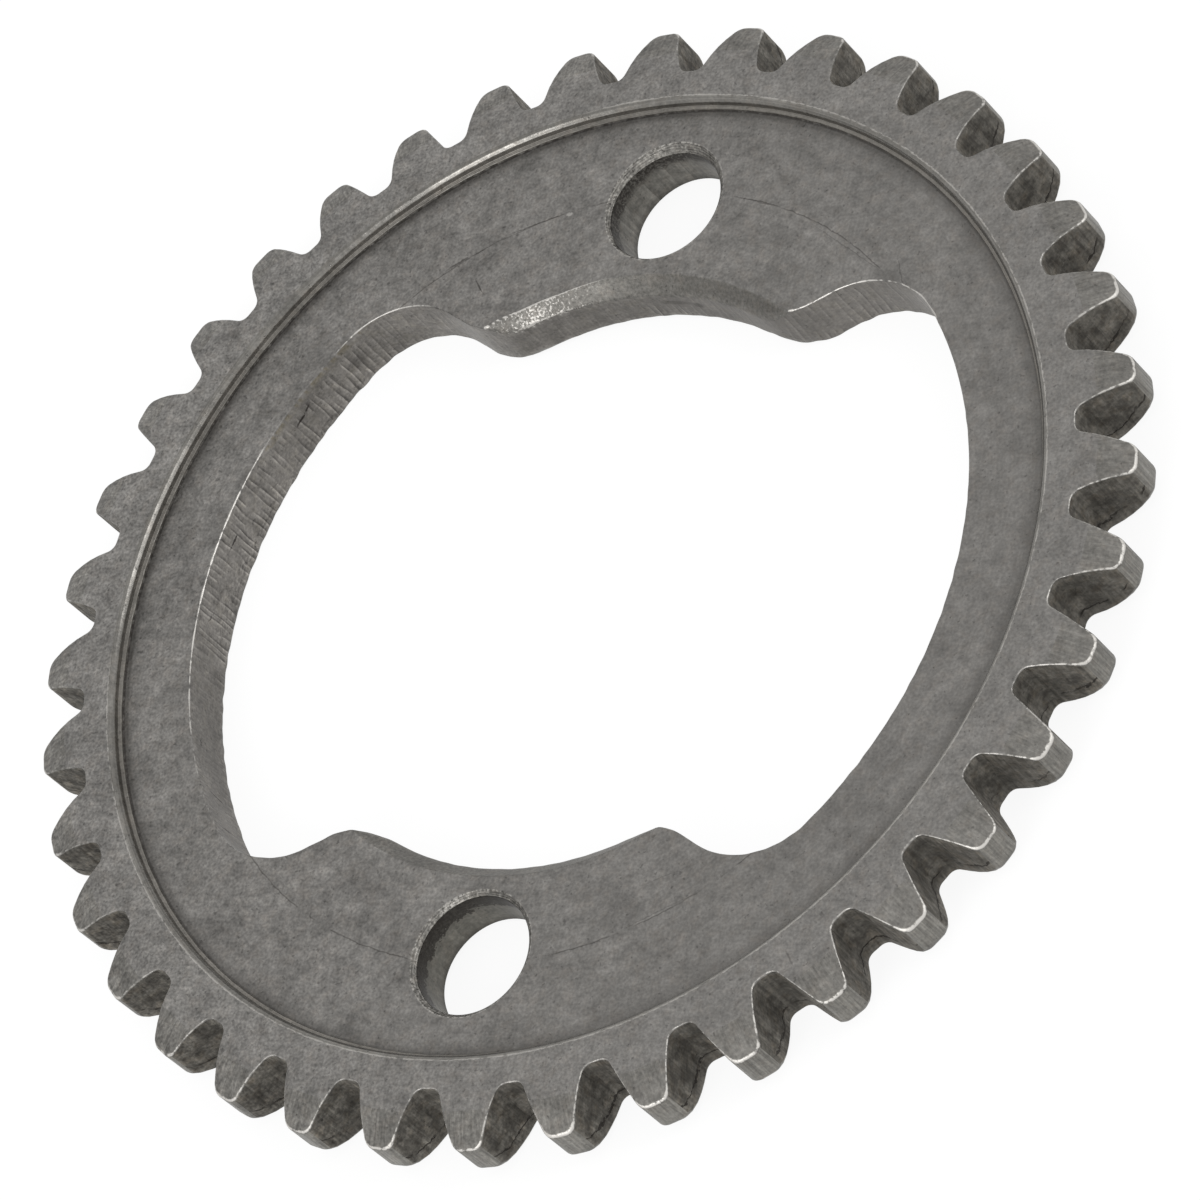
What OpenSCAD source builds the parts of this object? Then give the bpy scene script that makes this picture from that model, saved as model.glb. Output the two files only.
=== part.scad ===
// Camshaft sprocket for an inverted-tooth timing chain, cut from one turned steel disc.
// The origin is the centre of the back face, +Z leaves the front face, and the two
// bolt holes lie on the Y axis. All sizes are in millimetres.

/* [Teeth] */
// Pitch of the chain that runs on the teeth
chain_pitch = 6.35; // [6.2:0.05:7]
// Number of teeth, even, so that a gap lies over each bolt hole
tooth_count = 38; // [36:2:44]
// Height of a tooth from its root circle to its tip
tooth_depth = 3.65; // [3.2:0.05:4]
// Width of a tooth gap at its root, before its corners are rounded
gap_root_w = 1.5; // [1.3:0.1:1.8]
// Slope of a tooth's side from the middle line of its gap, in degrees
flank_angle = 23; // [19:0.5:24]
// Radius of the two corners at the root of a gap
root_corner_r = 0.75; // [0.7:0.05:1.1]
// Radius of the two corners at the tip of a tooth
tip_corner_r = 0.75; // [0.5:0.05:1.2]
// Length along the radius of the bevels on both sides of a tooth
tip_bevel_w = 2.2; // [1:0.1:2.4]
// Drop of those bevels at the tip
tip_bevel_drop = 1.0; // [0.6:0.05:1.5]

/* [Rim and web] */
// Thickness of the rim, which is the greatest thickness
rim_t = 4.8; // [4.4:0.05:6]
// Width of the raised rim between the tooth roots and its inner edge
rim_w = 1.8; // [1.5:0.1:2.4]
// Chamfer on the rim's inner edge
rim_chamfer = 0.27; // [0.1:0.01:0.4]
// Depth of the narrow ledge at the foot of the rim
ledge_depth = 0.6; // [0.5:0.05:0.65]
// Width of that ledge
ledge_w = 0.3; // [0.1:0.05:0.5]
// Depth of the web's front face below the rim
recess_depth = 0.8; // [0.75:0.05:1.4]

/* [Centre opening] */
// Diameter of the two bores that centre the sprocket on its camshaft flange
pilot_d = 39.4; // [37:0.2:40.6]
// Chamfer on the front edge of those bores
pilot_chamfer = 1.0; // [0.3:0.1:1.2]
// Chamfer on their back edge
pilot_back_chamfer = 0.4; // [0.2:0.1:1]
// Diameter across the two wide side arcs
window_d = 54.9; // [52:0.1:56]
// Radius of the pocket in each corner of the opening
pocket_r = 5.9; // [4.5:0.1:6.5]
// Angle of a pocket's centre from the bolt line, in degrees
pocket_angle = 51.5; // [50:0.5:56]
// Radius of the ear between a pilot bore and a pocket
ear_r = 5.1; // [3:0.1:5.6]
// Angle of an ear's centre from the bolt line, in degrees
ear_angle = 25; // [22:0.2:26]

/* [Bolt holes] */
// Diameter of each hole
bolt_hole_d = 7.8; // [6.4:0.1:8.4]
// Metal between a hole and the pilot bore beside it
bolt_wall = 2.15; // [1.6:0.05:2.6]
// Chamfer on both edges of each hole
bolt_chamfer = 0.3; // [0.1:0.05:0.5]

/* [Hidden] */
steel = [0.45, 0.44, 0.42];
// An inverted-tooth wheel's tip circle stands this share of a pitch above the polygon
// that its chain makes
tip_rise = 0.08;
pitch_angle = 360 / tooth_count;
tip_r = chain_pitch * (1 / tan(180 / tooth_count) + tip_rise) / 2;
root_r = tip_r - tooth_depth;
rim_in_r = root_r - rim_w;
pilot_r = pilot_d / 2;
window_r = window_d / 2;
bolt_hole_r = bolt_hole_d / 2;
bolt_line_r = pilot_r + bolt_wall + bolt_hole_r;
web_z = rim_t - recess_depth;
// How far a cutter runs past a face
over = 1;
// A wall's run inward over its height, and the ledge's and second step's slopes
wall_run = 0.1;
ledge_fall = 0.07;
step_run = 0.05;
// The largest share of the room between its walls that a round takes
room_share = 0.98;
$fn = 96;

// Unit vectors, angles from +Y towards +X
function dir(a) = [sin(a), cos(a)];
// The point where the line through p along unit vector d reaches radius r
function on_circle(p, d, r) = p + d * (-(p * d) + sqrt((p * d) ^ 2 - p * p + r * r));

// Up the right side of a tooth gap, and from the gap square into the metal
flank_up = dir(flank_angle);
flank_in = dir(90 + flank_angle);
flank_foot = [gap_root_w / 2, root_r];
// A root round fits between the flank and the gap's middle line, and a tip round
// between the flank and the tooth's middle line
root_room = gap_root_w / 2 * cos(flank_angle) / (1 - sin(flank_angle));
tip_lean = dir(pitch_angle / 2) * flank_in;
tip_room = (tip_r * tip_lean - flank_foot * flank_in) / (1 + tip_lean);
root_round_r = min(root_corner_r, root_room * room_share);
tip_round_r = min(tip_corner_r, tip_room * room_share);
// Centres of the two rounds
root_round = on_circle(flank_foot - flank_in * root_round_r, flank_up, root_r + root_round_r);
tip_round = on_circle(flank_foot + flank_in * tip_round_r, flank_up, tip_r - tip_round_r);
// Where the flank meets those rounds
flank_start = root_round + flank_in * root_round_r;
flank_end = tip_round - flank_in * tip_round_r;

module both_sides() {
    children();
    mirror([1, 0]) children();
}

// The gap between two teeth, symmetric about +Y, with its root on the root circle
module tooth_gap() {
    difference() {
        both_sides() {
            translate(root_round) circle(root_round_r);
            // From the middle line to the flank, and out past the tip of the tooth
            polygon([
                [0, root_r - over],
                root_round * (root_r - over) / norm(root_round),
                root_round,
                flank_start,
                flank_end,
                tip_round * (tip_r + over) / norm(tip_round),
                [0, tip_r + over]
            ]);
        }
        circle(root_r);
        both_sides() translate(tip_round) circle(tip_round_r);
    }
}

// Front view of the teeth and the disc that carries them
module toothed_disc() {
    difference() {
        circle(tip_r);
        for (i = [0 : tooth_count - 1]) rotate(i * pitch_angle) tooth_gap();
    }
}

// Half section of the turned blank: bevelled tips, raised rim, ledge and flat back
module blank_section() {
    polygon([
        [0, 0],
        [tip_r - tip_bevel_w, 0],
        [tip_r, tip_bevel_drop],
        [tip_r, rim_t - tip_bevel_drop],
        [tip_r - tip_bevel_w, rim_t],
        [rim_in_r, rim_t],
        [rim_in_r - rim_chamfer, rim_t - rim_chamfer],
        [rim_in_r - rim_chamfer - wall_run, rim_t - ledge_depth],
        [rim_in_r - rim_chamfer - wall_run - ledge_w, rim_t - ledge_depth - ledge_fall],
        [rim_in_r - rim_chamfer - wall_run - ledge_w - step_run, web_z],
        [0, web_z]
    ]);
}

// An ear stands on the pilot circle and is limited by the pocket beside it
pocket_centre = dir(pocket_angle) * (window_r - pocket_r);
ear_foot = dir(ear_angle) * pilot_r;
ear_span = pocket_centre - ear_foot;
ear_room = (ear_span * ear_span - pocket_r ^ 2) / (2 * (pocket_r + ear_span * dir(ear_angle)));
ear_round_r = min(ear_r, ear_room * room_share);
ear_centre = dir(ear_angle) * (pilot_r + ear_round_r);
// The short straight wall from an ear to its pocket touches both rounds
link = pocket_centre - ear_centre;
link_d = link / norm(link);
link_n = [-link_d.y, link_d.x];
touch_cos = (ear_round_r + pocket_r) / norm(link);
touch = link_d * touch_cos - link_n * sqrt(1 - touch_cos ^ 2);
ear_touch = ear_centre + touch * ear_round_r;
pocket_touch = pocket_centre - touch * pocket_r;

// One quarter of the centre opening between +Y and +X, without its rounds
module opening_quarter() {
    difference() {
        union() {
            polygon([
                [0, 0], [0, pilot_r], ear_foot, ear_centre, ear_touch, pocket_touch, pocket_centre
            ]);
            translate(pocket_centre) circle(pocket_r);
            intersection() {
                circle(pilot_r);
                square(pilot_r);
            }
            // The wide side arc beyond the pocket's centre line
            intersection() {
                circle(window_r);
                polygon([[0, 0], dir(pocket_angle) * 2 * window_r, [2 * window_r, 0]]);
            }
        }
        translate(ear_centre) circle(ear_round_r);
    }
}

module centre_opening() {
    both_sides() {
        opening_quarter();
        mirror([0, 1]) opening_quarter();
    }
}

// A round hole along Z from z0 to z1 with a 45 degree chamfer at each mouth
module chamfered_hole(r, z0, z1, chamfer_0, chamfer_1) {
    rotate_extrude() polygon([
        [0, z0 - over], [r + chamfer_0 + over, z0 - over], [r, z0 + chamfer_0],
        [r, z1 - chamfer_1], [r + chamfer_1 + over, z1 + over], [0, z1 + over]
    ]);
}

module sprocket() {
    color(steel) difference() {
        intersection() {
            linear_extrude(rim_t) toothed_disc();
            rotate_extrude() blank_section();
        }
        translate([0, 0, -over]) linear_extrude(rim_t + 2 * over) centre_opening();
        chamfered_hole(pilot_r, 0, web_z, pilot_back_chamfer, pilot_chamfer);
        for (side = [-1, 1]) translate([0, side * bolt_line_r, 0])
            chamfered_hole(bolt_hole_r, 0, web_z, bolt_chamfer, bolt_chamfer);
    }
}

sprocket();
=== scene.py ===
"""Dresses the camshaft sprocket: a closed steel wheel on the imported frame, in studio light.

Lengths in this file are millimetres until a mesh, lamp or camera is made, which is in
metres. Plane angles run from +Y towards +X, as in the part's source.
"""
import logging
import math
from dataclasses import dataclass
from enum import Enum
from functools import partial

import bmesh
import bpy
import numpy as np
from mathutils import Matrix, Vector
from mathutils.geometry import delaunay_2d_cdt


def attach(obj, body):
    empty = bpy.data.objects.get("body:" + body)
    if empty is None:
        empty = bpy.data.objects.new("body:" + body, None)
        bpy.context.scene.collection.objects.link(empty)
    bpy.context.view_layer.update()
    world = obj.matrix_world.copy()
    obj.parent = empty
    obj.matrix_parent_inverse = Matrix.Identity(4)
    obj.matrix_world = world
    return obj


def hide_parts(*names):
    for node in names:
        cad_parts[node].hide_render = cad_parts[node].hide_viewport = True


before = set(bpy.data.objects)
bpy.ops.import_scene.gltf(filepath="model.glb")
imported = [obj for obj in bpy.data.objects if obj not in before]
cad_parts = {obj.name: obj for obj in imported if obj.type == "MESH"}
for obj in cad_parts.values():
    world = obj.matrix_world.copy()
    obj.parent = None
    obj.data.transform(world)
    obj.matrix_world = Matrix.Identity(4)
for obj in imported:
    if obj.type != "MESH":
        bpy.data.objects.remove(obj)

LOG = logging.getLogger("sprocket")
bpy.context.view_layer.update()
MM = 0.001
WELD_MM = 0.0002
# How a Map Range node eases between its levels
EASED = {"interpolation_type": "SMOOTHSTEP"}
# Values by angle in degrees, joined by straight lines
AngleTable = tuple[tuple[float, float], ...]


class Zone(Enum):
    """Surfaces of the wheel that were made in different ways, in material order."""
    RIM = 0
    BEVEL = 1
    FLANK = 2
    TIP = 3
    CHAMFER = 4
    STEP = 5
    WEB = 6
    WINDOW_WALL = 7
    PILOT_CHAMFER = 8
    HOLE_CHAMFER = 9
    UPPER_BORE = 10
    LOWER_BORE = 11
    BACK = 12


class Lay(Enum):
    """Direction of the marks that a tool left on a surface."""
    NONE = "none"
    TURNED = "turned round the axis"
    RADIAL = "across the axis"
    AXIAL = "along the wall's height"
    RINGS = "round a hole's own axis"


# Geometry helpers


def directions(angles: np.ndarray) -> np.ndarray:
    """Unit vectors at angles in degrees, from +Y towards +X."""
    a = np.radians(angles)
    return np.stack([np.sin(a), np.cos(a)], axis=-1)


def angle_of(vector: np.ndarray) -> float:
    """Angle of a plane vector in degrees, from +Y towards +X."""
    return math.degrees(math.atan2(vector[0], vector[1]))


def angles_of(points: np.ndarray) -> np.ndarray:
    """Angles of plane points in degrees, 0 to 360, from +Y towards +X."""
    return np.degrees(np.arctan2(points[:, 0], points[:, 1])) % 360


def at_angles(angle: np.ndarray, table: AngleTable) -> np.ndarray:
    """Values of a table at angles in degrees."""
    return np.interp(angle, *np.array(table).T)


def in_rows(count: int, rows: tuple[tuple[int, float], ...]) -> np.ndarray:
    """A column of zeros with values in the given rows.

    Args:
        count: Length of the column.
        rows: Row and value, for each row that isn't zero.

    Returns:
        The column, count by 1.
    """
    column = np.zeros((count, 1))
    column[[row for row, _ in rows], 0] = [value for _, value in rows]
    return column


def raised(place: np.ndarray, height: np.ndarray) -> np.ndarray:
    """Plane points with their heights as third coordinate."""
    return np.concatenate([place, height[..., None]], axis=-1)


def face_radii(place: np.ndarray) -> np.ndarray:
    """Radius of the middle of each face of a grid of plane points."""
    return np.linalg.norm((place[1:, 1:] + place[:-1, :-1]) / 2, axis=-1)


def soft_ramp(t: np.ndarray, reach: float) -> np.ndarray:
    """Zero below 0 and t above it, with a parabola over the given reach on both sides."""
    return np.where(np.abs(t) < reach, (t + reach) ** 2 / (4 * reach), np.maximum(t, 0))


def ripple(length: np.ndarray, seed: int, waves: int = 14) -> np.ndarray:
    """Smooth closed noise along an outline.

    A sum of sines whose whole numbers of waves and whose phases are drawn from the seed,
    divided by its spread.

    Args:
        length: Distance along the closed outline, ending at its whole length.
        seed: Seed of the draw.
        waves: Number of sines.

    Returns:
        Values of about -2 to 2 with a spread of 1.
    """
    rng = np.random.default_rng(seed)
    count = rng.integers(5, 160, waves)[:, None]
    phase = rng.uniform(0, 2 * np.pi, waves)[:, None]
    wave = np.sin(2 * np.pi * count * length[None] / length[-1] + phase).sum(axis=0)
    return wave / math.sqrt(waves / 2)


def rounded_profile(corners: list, radii: list, steps: int) -> np.ndarray:
    """Replaces each inner corner of a profile by a small round.

    A round is the quadratic curve that leaves one side at the radius's distance from the
    corner and meets the other side at the same distance.

    Args:
        corners: Points of the profile.
        radii: Distance from each inner corner to the ends of its round.
        steps: Number of points on each round.

    Returns:
        Points of the profile, ends included.
    """
    p = np.asarray(corners, float)
    reach = np.asarray(radii, float)[:, None]
    back, ahead = p[:-2] - p[1:-1], p[2:] - p[1:-1]
    start = p[1:-1] + back / np.linalg.norm(back, axis=1, keepdims=True) * reach
    end = p[1:-1] + ahead / np.linalg.norm(ahead, axis=1, keepdims=True) * reach
    s = np.linspace(0, 1, steps)[None, :, None]
    curve = (1 - s) ** 2 * start[:, None] + 2 * s * (1 - s) * p[1:-1, None] + s ** 2 * end[:, None]
    return np.vstack([p[:1], curve.reshape(-1, 2), p[-1:]])


def inside(points: np.ndarray, loop: np.ndarray) -> np.ndarray:
    """Tells which points a loop goes round, by the crossings of a ray towards +X.

    Args:
        points: The points.
        loop: Points of the loop, without the doubled last one.

    Returns:
        True for each point inside.
    """
    a, b = loop, np.roll(loop, -1, axis=0)
    x, y = points[:, :1], points[:, 1:]
    spans = (a[:, 1] > y) != (b[:, 1] > y)
    with np.errstate(divide="ignore", invalid="ignore"):
        cross = a[:, 0] + (y - a[:, 1]) * (b[:, 0] - a[:, 0]) / (b[:, 1] - a[:, 1])
    return (spans & (x < cross)).sum(axis=1) % 2 == 1


@dataclass(frozen=True)
class Outline:
    """A line in the plane of the wheel, with unit normals that leave the metal."""
    points: np.ndarray
    normals: np.ndarray

    @classmethod
    def arc(cls, centre: np.ndarray, radius: float, start: float, end: float, steps: int,
            side: int) -> "Outline":
        """Part of a circle, centre + radius * direction(angle), evenly spaced.

        Args:
            centre: Centre of the circle.
            radius: Its radius.
            start: First angle in degrees.
            end: Last angle in degrees.
            steps: Number of steps.
            side: 1 where the metal is inside the circle and -1 where it is outside.

        Returns:
            The arc.
        """
        unit = directions(np.linspace(start, end, steps + 1))
        return cls(np.asarray(centre) + radius * unit, side * unit)

    @classmethod
    def straight(cls, start: np.ndarray, end: np.ndarray, normal: np.ndarray,
                 steps: int) -> "Outline":
        """A straight line with one normal, evenly spaced."""
        t = np.linspace(0, 1, steps + 1)[:, None]
        return cls(start * (1 - t) + end * t, np.repeat(normal[None], steps + 1, axis=0))

    @classmethod
    def chain(cls, *parts: "Outline") -> "Outline":
        """Joins lines whose ends meet, without their doubled points.

        Args:
            parts: The lines in order.

        Returns:
            One line.
        """
        points = [parts[0].points] + [part.points[1:] for part in parts[1:]]
        normals = [parts[0].normals] + [part.normals[1:] for part in parts[1:]]
        return cls(np.vstack(points), np.vstack(normals))

    def mirrored(self, axis: int) -> "Outline":
        """The same line with one coordinate turned round, run the other way."""
        flip = np.where(np.arange(2) == axis, -1.0, 1.0)
        return Outline(self.points[::-1] * flip, self.normals[::-1] * flip)

    def inset(self, depth: np.ndarray) -> np.ndarray:
        """Points at depths in the metal, one row for each row of depths."""
        return self.points[None] - self.normals[None] * depth[..., None]

    def run(self) -> np.ndarray:
        """Distance of each point along the line."""
        step = np.linalg.norm(np.diff(self.points, axis=0), axis=1)
        return np.concatenate([[0.0], np.cumsum(step)])


@dataclass
class Surface:
    """Part of the wheel's skin: points, faces, pattern coordinates, rubbing and soiling with
    painted light and shade, tears and zones.
    """
    points: np.ndarray
    faces: np.ndarray
    pattern: np.ndarray
    wear_and_painted_light: np.ndarray
    torn: np.ndarray
    zones: np.ndarray

    @classmethod
    def grid(cls, points: np.ndarray, pattern: np.ndarray, zone: Zone | np.ndarray,
             wear_and_painted_light: np.ndarray | float = 0.0, torn: np.ndarray | float = 0.0) -> "Surface":
        """A surface of two parameters, sampled on rows and columns.

        Args:
            points: Positions, rows by columns by 3.
            pattern: Pattern coordinates, rows by columns by 2.
            zone: One zone, or the number of one for each face.
            wear_and_painted_light: Rubbed brightness and painted highlight (1, or more where it is
                whole) to soiling and painted shade (-1) at each point, or one for all.
            torn: Torn metal (1) to a burnished band (-1) at each point, or one for all.

        Returns:
            Its surface, one four-sided face between each four neighbours.
        """
        rows, cols = points.shape[:2]
        index = np.arange(rows * cols).reshape(rows, cols)
        quads = np.stack([index[:-1, :-1], index[:-1, 1:], index[1:, 1:], index[1:, :-1]], axis=-1)
        kinds = zone.value if isinstance(zone, Zone) else zone
        return cls(
            points.reshape(-1, 3),
            quads.reshape(-1, 4),
            pattern.reshape(-1, 2),
            np.broadcast_to(wear_and_painted_light, (rows, cols)).reshape(-1),
            np.broadcast_to(torn, (rows, cols)).reshape(-1),
            np.broadcast_to(kinds, (rows - 1, cols - 1)).reshape(-1),
        )

    @classmethod
    def flat(cls, outer: np.ndarray, holes: list[np.ndarray], height: float,
             zone: Zone) -> "Surface":
        """A flat face between closed loops, in triangles.

        The loops are joined by a constrained Delaunay triangulation, and the triangles
        whose middle is outside the outer loop or in a hole are left out.

        Args:
            outer: Points of the outer loop, without the doubled last one.
            holes: Points of each hole.
            height: Height of the face.
            zone: Its zone.

        Returns:
            Its surface.
        """
        loops = [outer, *holes]
        flat = np.vstack(loops)
        starts = np.cumsum([0] + [len(loop) for loop in loops[:-1]])
        edges = np.vstack([
            np.stack([np.arange(len(loop)), np.roll(np.arange(len(loop)), -1)], axis=1) + start
            for loop, start in zip(loops, starts)
        ])
        made = delaunay_2d_cdt([Vector(p) for p in flat], edges.tolist(), [], 1, 1e-7)
        points = np.array([tuple(p) for p in made[0]])
        faces = np.array([face for face in made[2] if len(face) == 3])
        middle = points[faces].mean(axis=1)
        keep = inside(middle, outer)
        for hole in holes:
            keep &= ~inside(middle, hole)
        faces = faces[keep]
        place = np.c_[points, np.full(len(points), height)]
        none = np.zeros(len(points))
        return cls(place, faces, points, none, none, np.full(len(faces), zone.value))


def quarter_round(radius: np.ndarray, steps: int) -> tuple[np.ndarray, np.ndarray]:
    """Section of a rounded edge between a wall and a face.

    At the angle a from the wall, the inset is r * (1 - cos a) and the drop below the face
    is r * (1 - sin a).

    Args:
        radius: Radius at each point of the outline.
        steps: Number of steps.

    Returns:
        Inset and drop, each steps + 1 rows by the outline's points.
    """
    a = np.linspace(0, np.pi / 2, steps + 1)[:, None]
    return radius[None] * (1 - np.cos(a)), radius[None] * (1 - np.sin(a))


def edge_wear_and_glint(steps: int) -> np.ndarray:
    """Rubbed brightness and painted highlight across a rounded edge: none at its two ends and full
    in its middle.
    """
    return np.sin(np.linspace(0, np.pi, steps + 1))[:, None]


# Sub-assemblies


@dataclass(frozen=True)
class ToothedRim:
    """The ring of teeth with its bevelled tips, from the rim's face to the back."""
    teeth: int = 38
    tip_r: float = 38.5706
    root_r: float = 34.9206
    root_half_w: float = 0.75
    flank_angle: float = 23.0
    root_round: float = 0.75
    tip_round: float = 0.75
    crease_r: float = 36.3706
    bevel_slope: float = 1 / 2.2
    thickness: float = 4.8
    inner_r: float = 34.3
    # Radii of the front and back edges, the share by which they ripple, and what the tips
    # have more of it, which grows over the fade
    front_edge: float = 0.11
    back_edge: float = 0.12
    edge_ripple: float = 0.16
    tip_edge: float = 0.07
    tip_roll: float = 0.3
    tip_fade: float = 0.4
    # Reach of the soft start of the bevel, which shows no crease
    crease_reach: float = 1.1
    # A line from a root circle crosses no crease and has that point at this share of it
    low_crease: float = 0.3
    # Share of a tip's round that belongs to its land
    land_share: float = 0.41
    # Steps on the root circle, root round, flank, tip round and tip circle
    line_steps: tuple[int, int, int, int, int] = (2, 6, 4, 6, 3)
    # Steps on the bevel and below it, at the front and at the back
    front_steps: tuple[int, int] = (4, 3)
    back_steps: tuple[int, int] = (3, 2)
    wall_steps: int = 6
    edge_steps: int = 4
    # Rubbed brightness and painted highlight of the front edge by angle, what the tips have more
    # of it, and rubbed brightness of the back edge
    edge_wear_and_glint_at: AngleTable = (
        (0, 0.4), (40, 0.5), (70, 0.72), (130, 0.75), (170, 0.7), (210, 0.5), (260, 0.35),
        (360, 0.4))
    tip_wear_and_glint: float = 0.35
    back_wear: float = 0.5
    # Painted highlight and half width of the ridge between flank and land, and painted shade on
    # the flank
    ridge_glint: float = 0.6
    ridge_half: float = 0.05
    flank_shade: float = 0.45

    def half_gap(self) -> Outline:
        """Half a tooth gap, from its middle line to the middle of the next tooth.

        Root circle, root round, straight flank, tip round and tip circle follow each other
        and share their tangents.

        Returns:
            The line.
        """
        up, into = directions(np.array([self.flank_angle, self.flank_angle + 90]))
        foot = np.array([self.root_half_w, self.root_r])

        def reach(start: np.ndarray, radius: float) -> np.ndarray:
            """Where the line from start along the flank meets a circle round the axis."""
            along = start @ up
            return start + up * (-along + math.sqrt(along ** 2 - start @ start + radius ** 2))

        low = reach(foot - into * self.root_round, self.root_r + self.root_round)
        high = reach(foot + into * self.tip_round, self.tip_r - self.tip_round)
        low_a, high_a = angle_of(low), angle_of(high)
        side = angle_of(into)
        root, low_round, flank, high_round, tip = self.line_steps
        return Outline.chain(
            Outline.arc((0, 0), self.root_r, 0, low_a, root, 1),
            Outline.arc(low, self.root_round, low_a + 180, side, low_round, -1),
            Outline.straight(low + into * self.root_round, high - into * self.tip_round,
                             -into, flank),
            Outline.arc(high, self.tip_round, side - 180, high_a, high_round, 1),
            Outline.arc((0, 0), self.tip_r, high_a, 180 / self.teeth, tip, 1),
        )

    def outline(self) -> Outline:
        """The whole toothed outline, closed, from the middle of a tooth.

        Returns:
            One gap, turned by the pitch angle once for each tooth.
        """
        half = self.half_gap()
        gap = Outline.chain(half.mirrored(0), half)
        a = np.radians(np.arange(self.teeth) * 360 / self.teeth)
        turn = np.array([[np.cos(a), np.sin(a)], [-np.sin(a), np.cos(a)]]).transpose(2, 0, 1)
        points = np.einsum("tij,pj->tpi", turn, gap.points[:-1]).reshape(-1, 2)
        normals = np.einsum("tij,pj->tpi", turn, gap.normals[:-1]).reshape(-1, 2)
        return Outline(np.vstack([points, points[:1]]), np.vstack([normals, normals[:1]]))

    def bevel_drop(self, place: np.ndarray) -> np.ndarray:
        """Drop of the bevel at plane points: its slope times the way past its crease."""
        past = np.linalg.norm(place, axis=-1) - self.crease_r
        return soft_ramp(past, self.crease_reach) * self.bevel_slope

    def rings(self, start: np.ndarray, upper: int, lower: int) -> np.ndarray:
        """Points on radial lines from the edge of the outline down to the inner ring.

        Each line has a few steps on the bevel, three points across its crease and a few
        steps below it. A line that starts near or below the crease has them closer.

        Args:
            start: Points where the lines start.
            upper: Steps on the bevel.
            lower: Steps below it.

        Returns:
            Rows of points, without the first one.
        """
        radius = np.linalg.norm(start, axis=-1)
        crease = np.minimum(self.crease_r, radius - (radius - self.inner_r) * self.low_crease)
        above = np.minimum(self.crease_reach, (radius - crease) / 3)
        below = np.minimum(self.crease_reach, (crease - self.inner_r) / 4)
        high = np.linspace(radius, crease + above, upper + 1)[1:]
        low = np.linspace(crease - below, np.full_like(radius, self.inner_r), lower + 1)
        radii = np.vstack([high, crease[None], low])
        return radii[..., None] * (start / radius[:, None])[None]

    def face(self, line: Outline, edge: np.ndarray, upper: int,
             lower: int) -> tuple[np.ndarray, np.ndarray]:
        """Plane points and depths of one side of the teeth, from the wall to the inner ring.

        Args:
            line: The outline.
            edge: Radius of its rounded edge at each point.
            upper: Steps on the bevel.
            lower: Steps below it.

        Returns:
            Plane points and depths, rows by the outline's points.
        """
        inset, drop = quarter_round(edge, self.edge_steps)
        rim = line.inset(inset)
        rings = self.rings(rim[-1], upper, lower)
        place = np.vstack([rim, rings])
        depth = self.bevel_drop(place)
        depth[:len(drop)] += drop
        return place, depth

    def surfaces(self) -> tuple[list[Surface], np.ndarray, np.ndarray]:
        """Front, wall and back of the teeth.

        Returns:
            The surfaces, and the inner loops that the front and back faces start from.
        """
        line = self.outline()
        run = line.run()
        past = np.linalg.norm(line.points, axis=1) - self.tip_r + self.tip_round * self.land_share
        at_tip = np.clip(1 + past / self.tip_fade, 0, 1)
        front_r, back_r = (
            edge * (1 + self.edge_ripple * ripple(run, seed)) + more * at_tip
            for edge, seed, more in (
                (self.front_edge, 3, self.tip_edge), (self.back_edge, 4, self.tip_roll)))
        front, front_depth = self.face(line, front_r, *self.front_steps)
        back, back_depth = self.face(line, back_r, *self.back_steps)
        top = self.thickness - front_depth
        # Rubbed brightness and painted highlight of the front edge, by angle and stronger at the
        # tips
        bright = at_angles(angles_of(line.points), self.edge_wear_and_glint_at) + at_tip * self.tip_wear_and_glint
        wear_and_painted_light = np.zeros(front.shape[:2])
        wear_and_painted_light[:self.edge_steps + 1] = edge_wear_and_glint(self.edge_steps) * np.minimum(bright, 1)
        back_wear = np.zeros(back.shape[:2])
        back_wear[:self.edge_steps + 1] = edge_wear_and_glint(self.edge_steps) * self.back_wear
        zones = np.where(face_radii(front) > self.crease_r, Zone.BEVEL.value, Zone.RIM.value)
        t = np.linspace(0, 1, self.wall_steps + 1)[:, None]
        wall_z = top[0] * (1 - t) + back_depth[0] * t
        wall = raised(np.broadcast_to(line.points, (len(t), *line.points.shape)), wall_z)
        wall_map = np.stack([np.broadcast_to(run, wall_z.shape), wall_z - back_depth[0]],
                            axis=-1)
        kinds = np.where((past[1:] > 0) & (past[:-1] > 0), Zone.TIP.value, Zone.FLANK.value)
        # Painted highlight along the ridge and painted shade over the rest of the flanks
        ridge = np.exp(-(past / self.ridge_half) ** 2)
        wall_glint_and_shade = self.ridge_glint * ridge - self.flank_shade * (1 - ridge) * (past < 0)
        made = [
            Surface.grid(raised(front, top), front, zones, wear_and_painted_light),
            Surface.grid(wall, wall_map, np.broadcast_to(kinds, (self.wall_steps, len(kinds))),
                         wall_glint_and_shade, 1.0),
            Surface.grid(raised(back, back_depth), back, Zone.BACK, back_wear),
        ]
        return made, front[-1, :-1], back[-1, :-1]


@dataclass(frozen=True)
class StepCorner:
    """A corner of the step's profile: place, reach of its round, wandering and painted shade."""
    radius: float
    z: float
    reach: float
    wander: float = 0.0
    shade_and_dirt: float = 0.0


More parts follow.
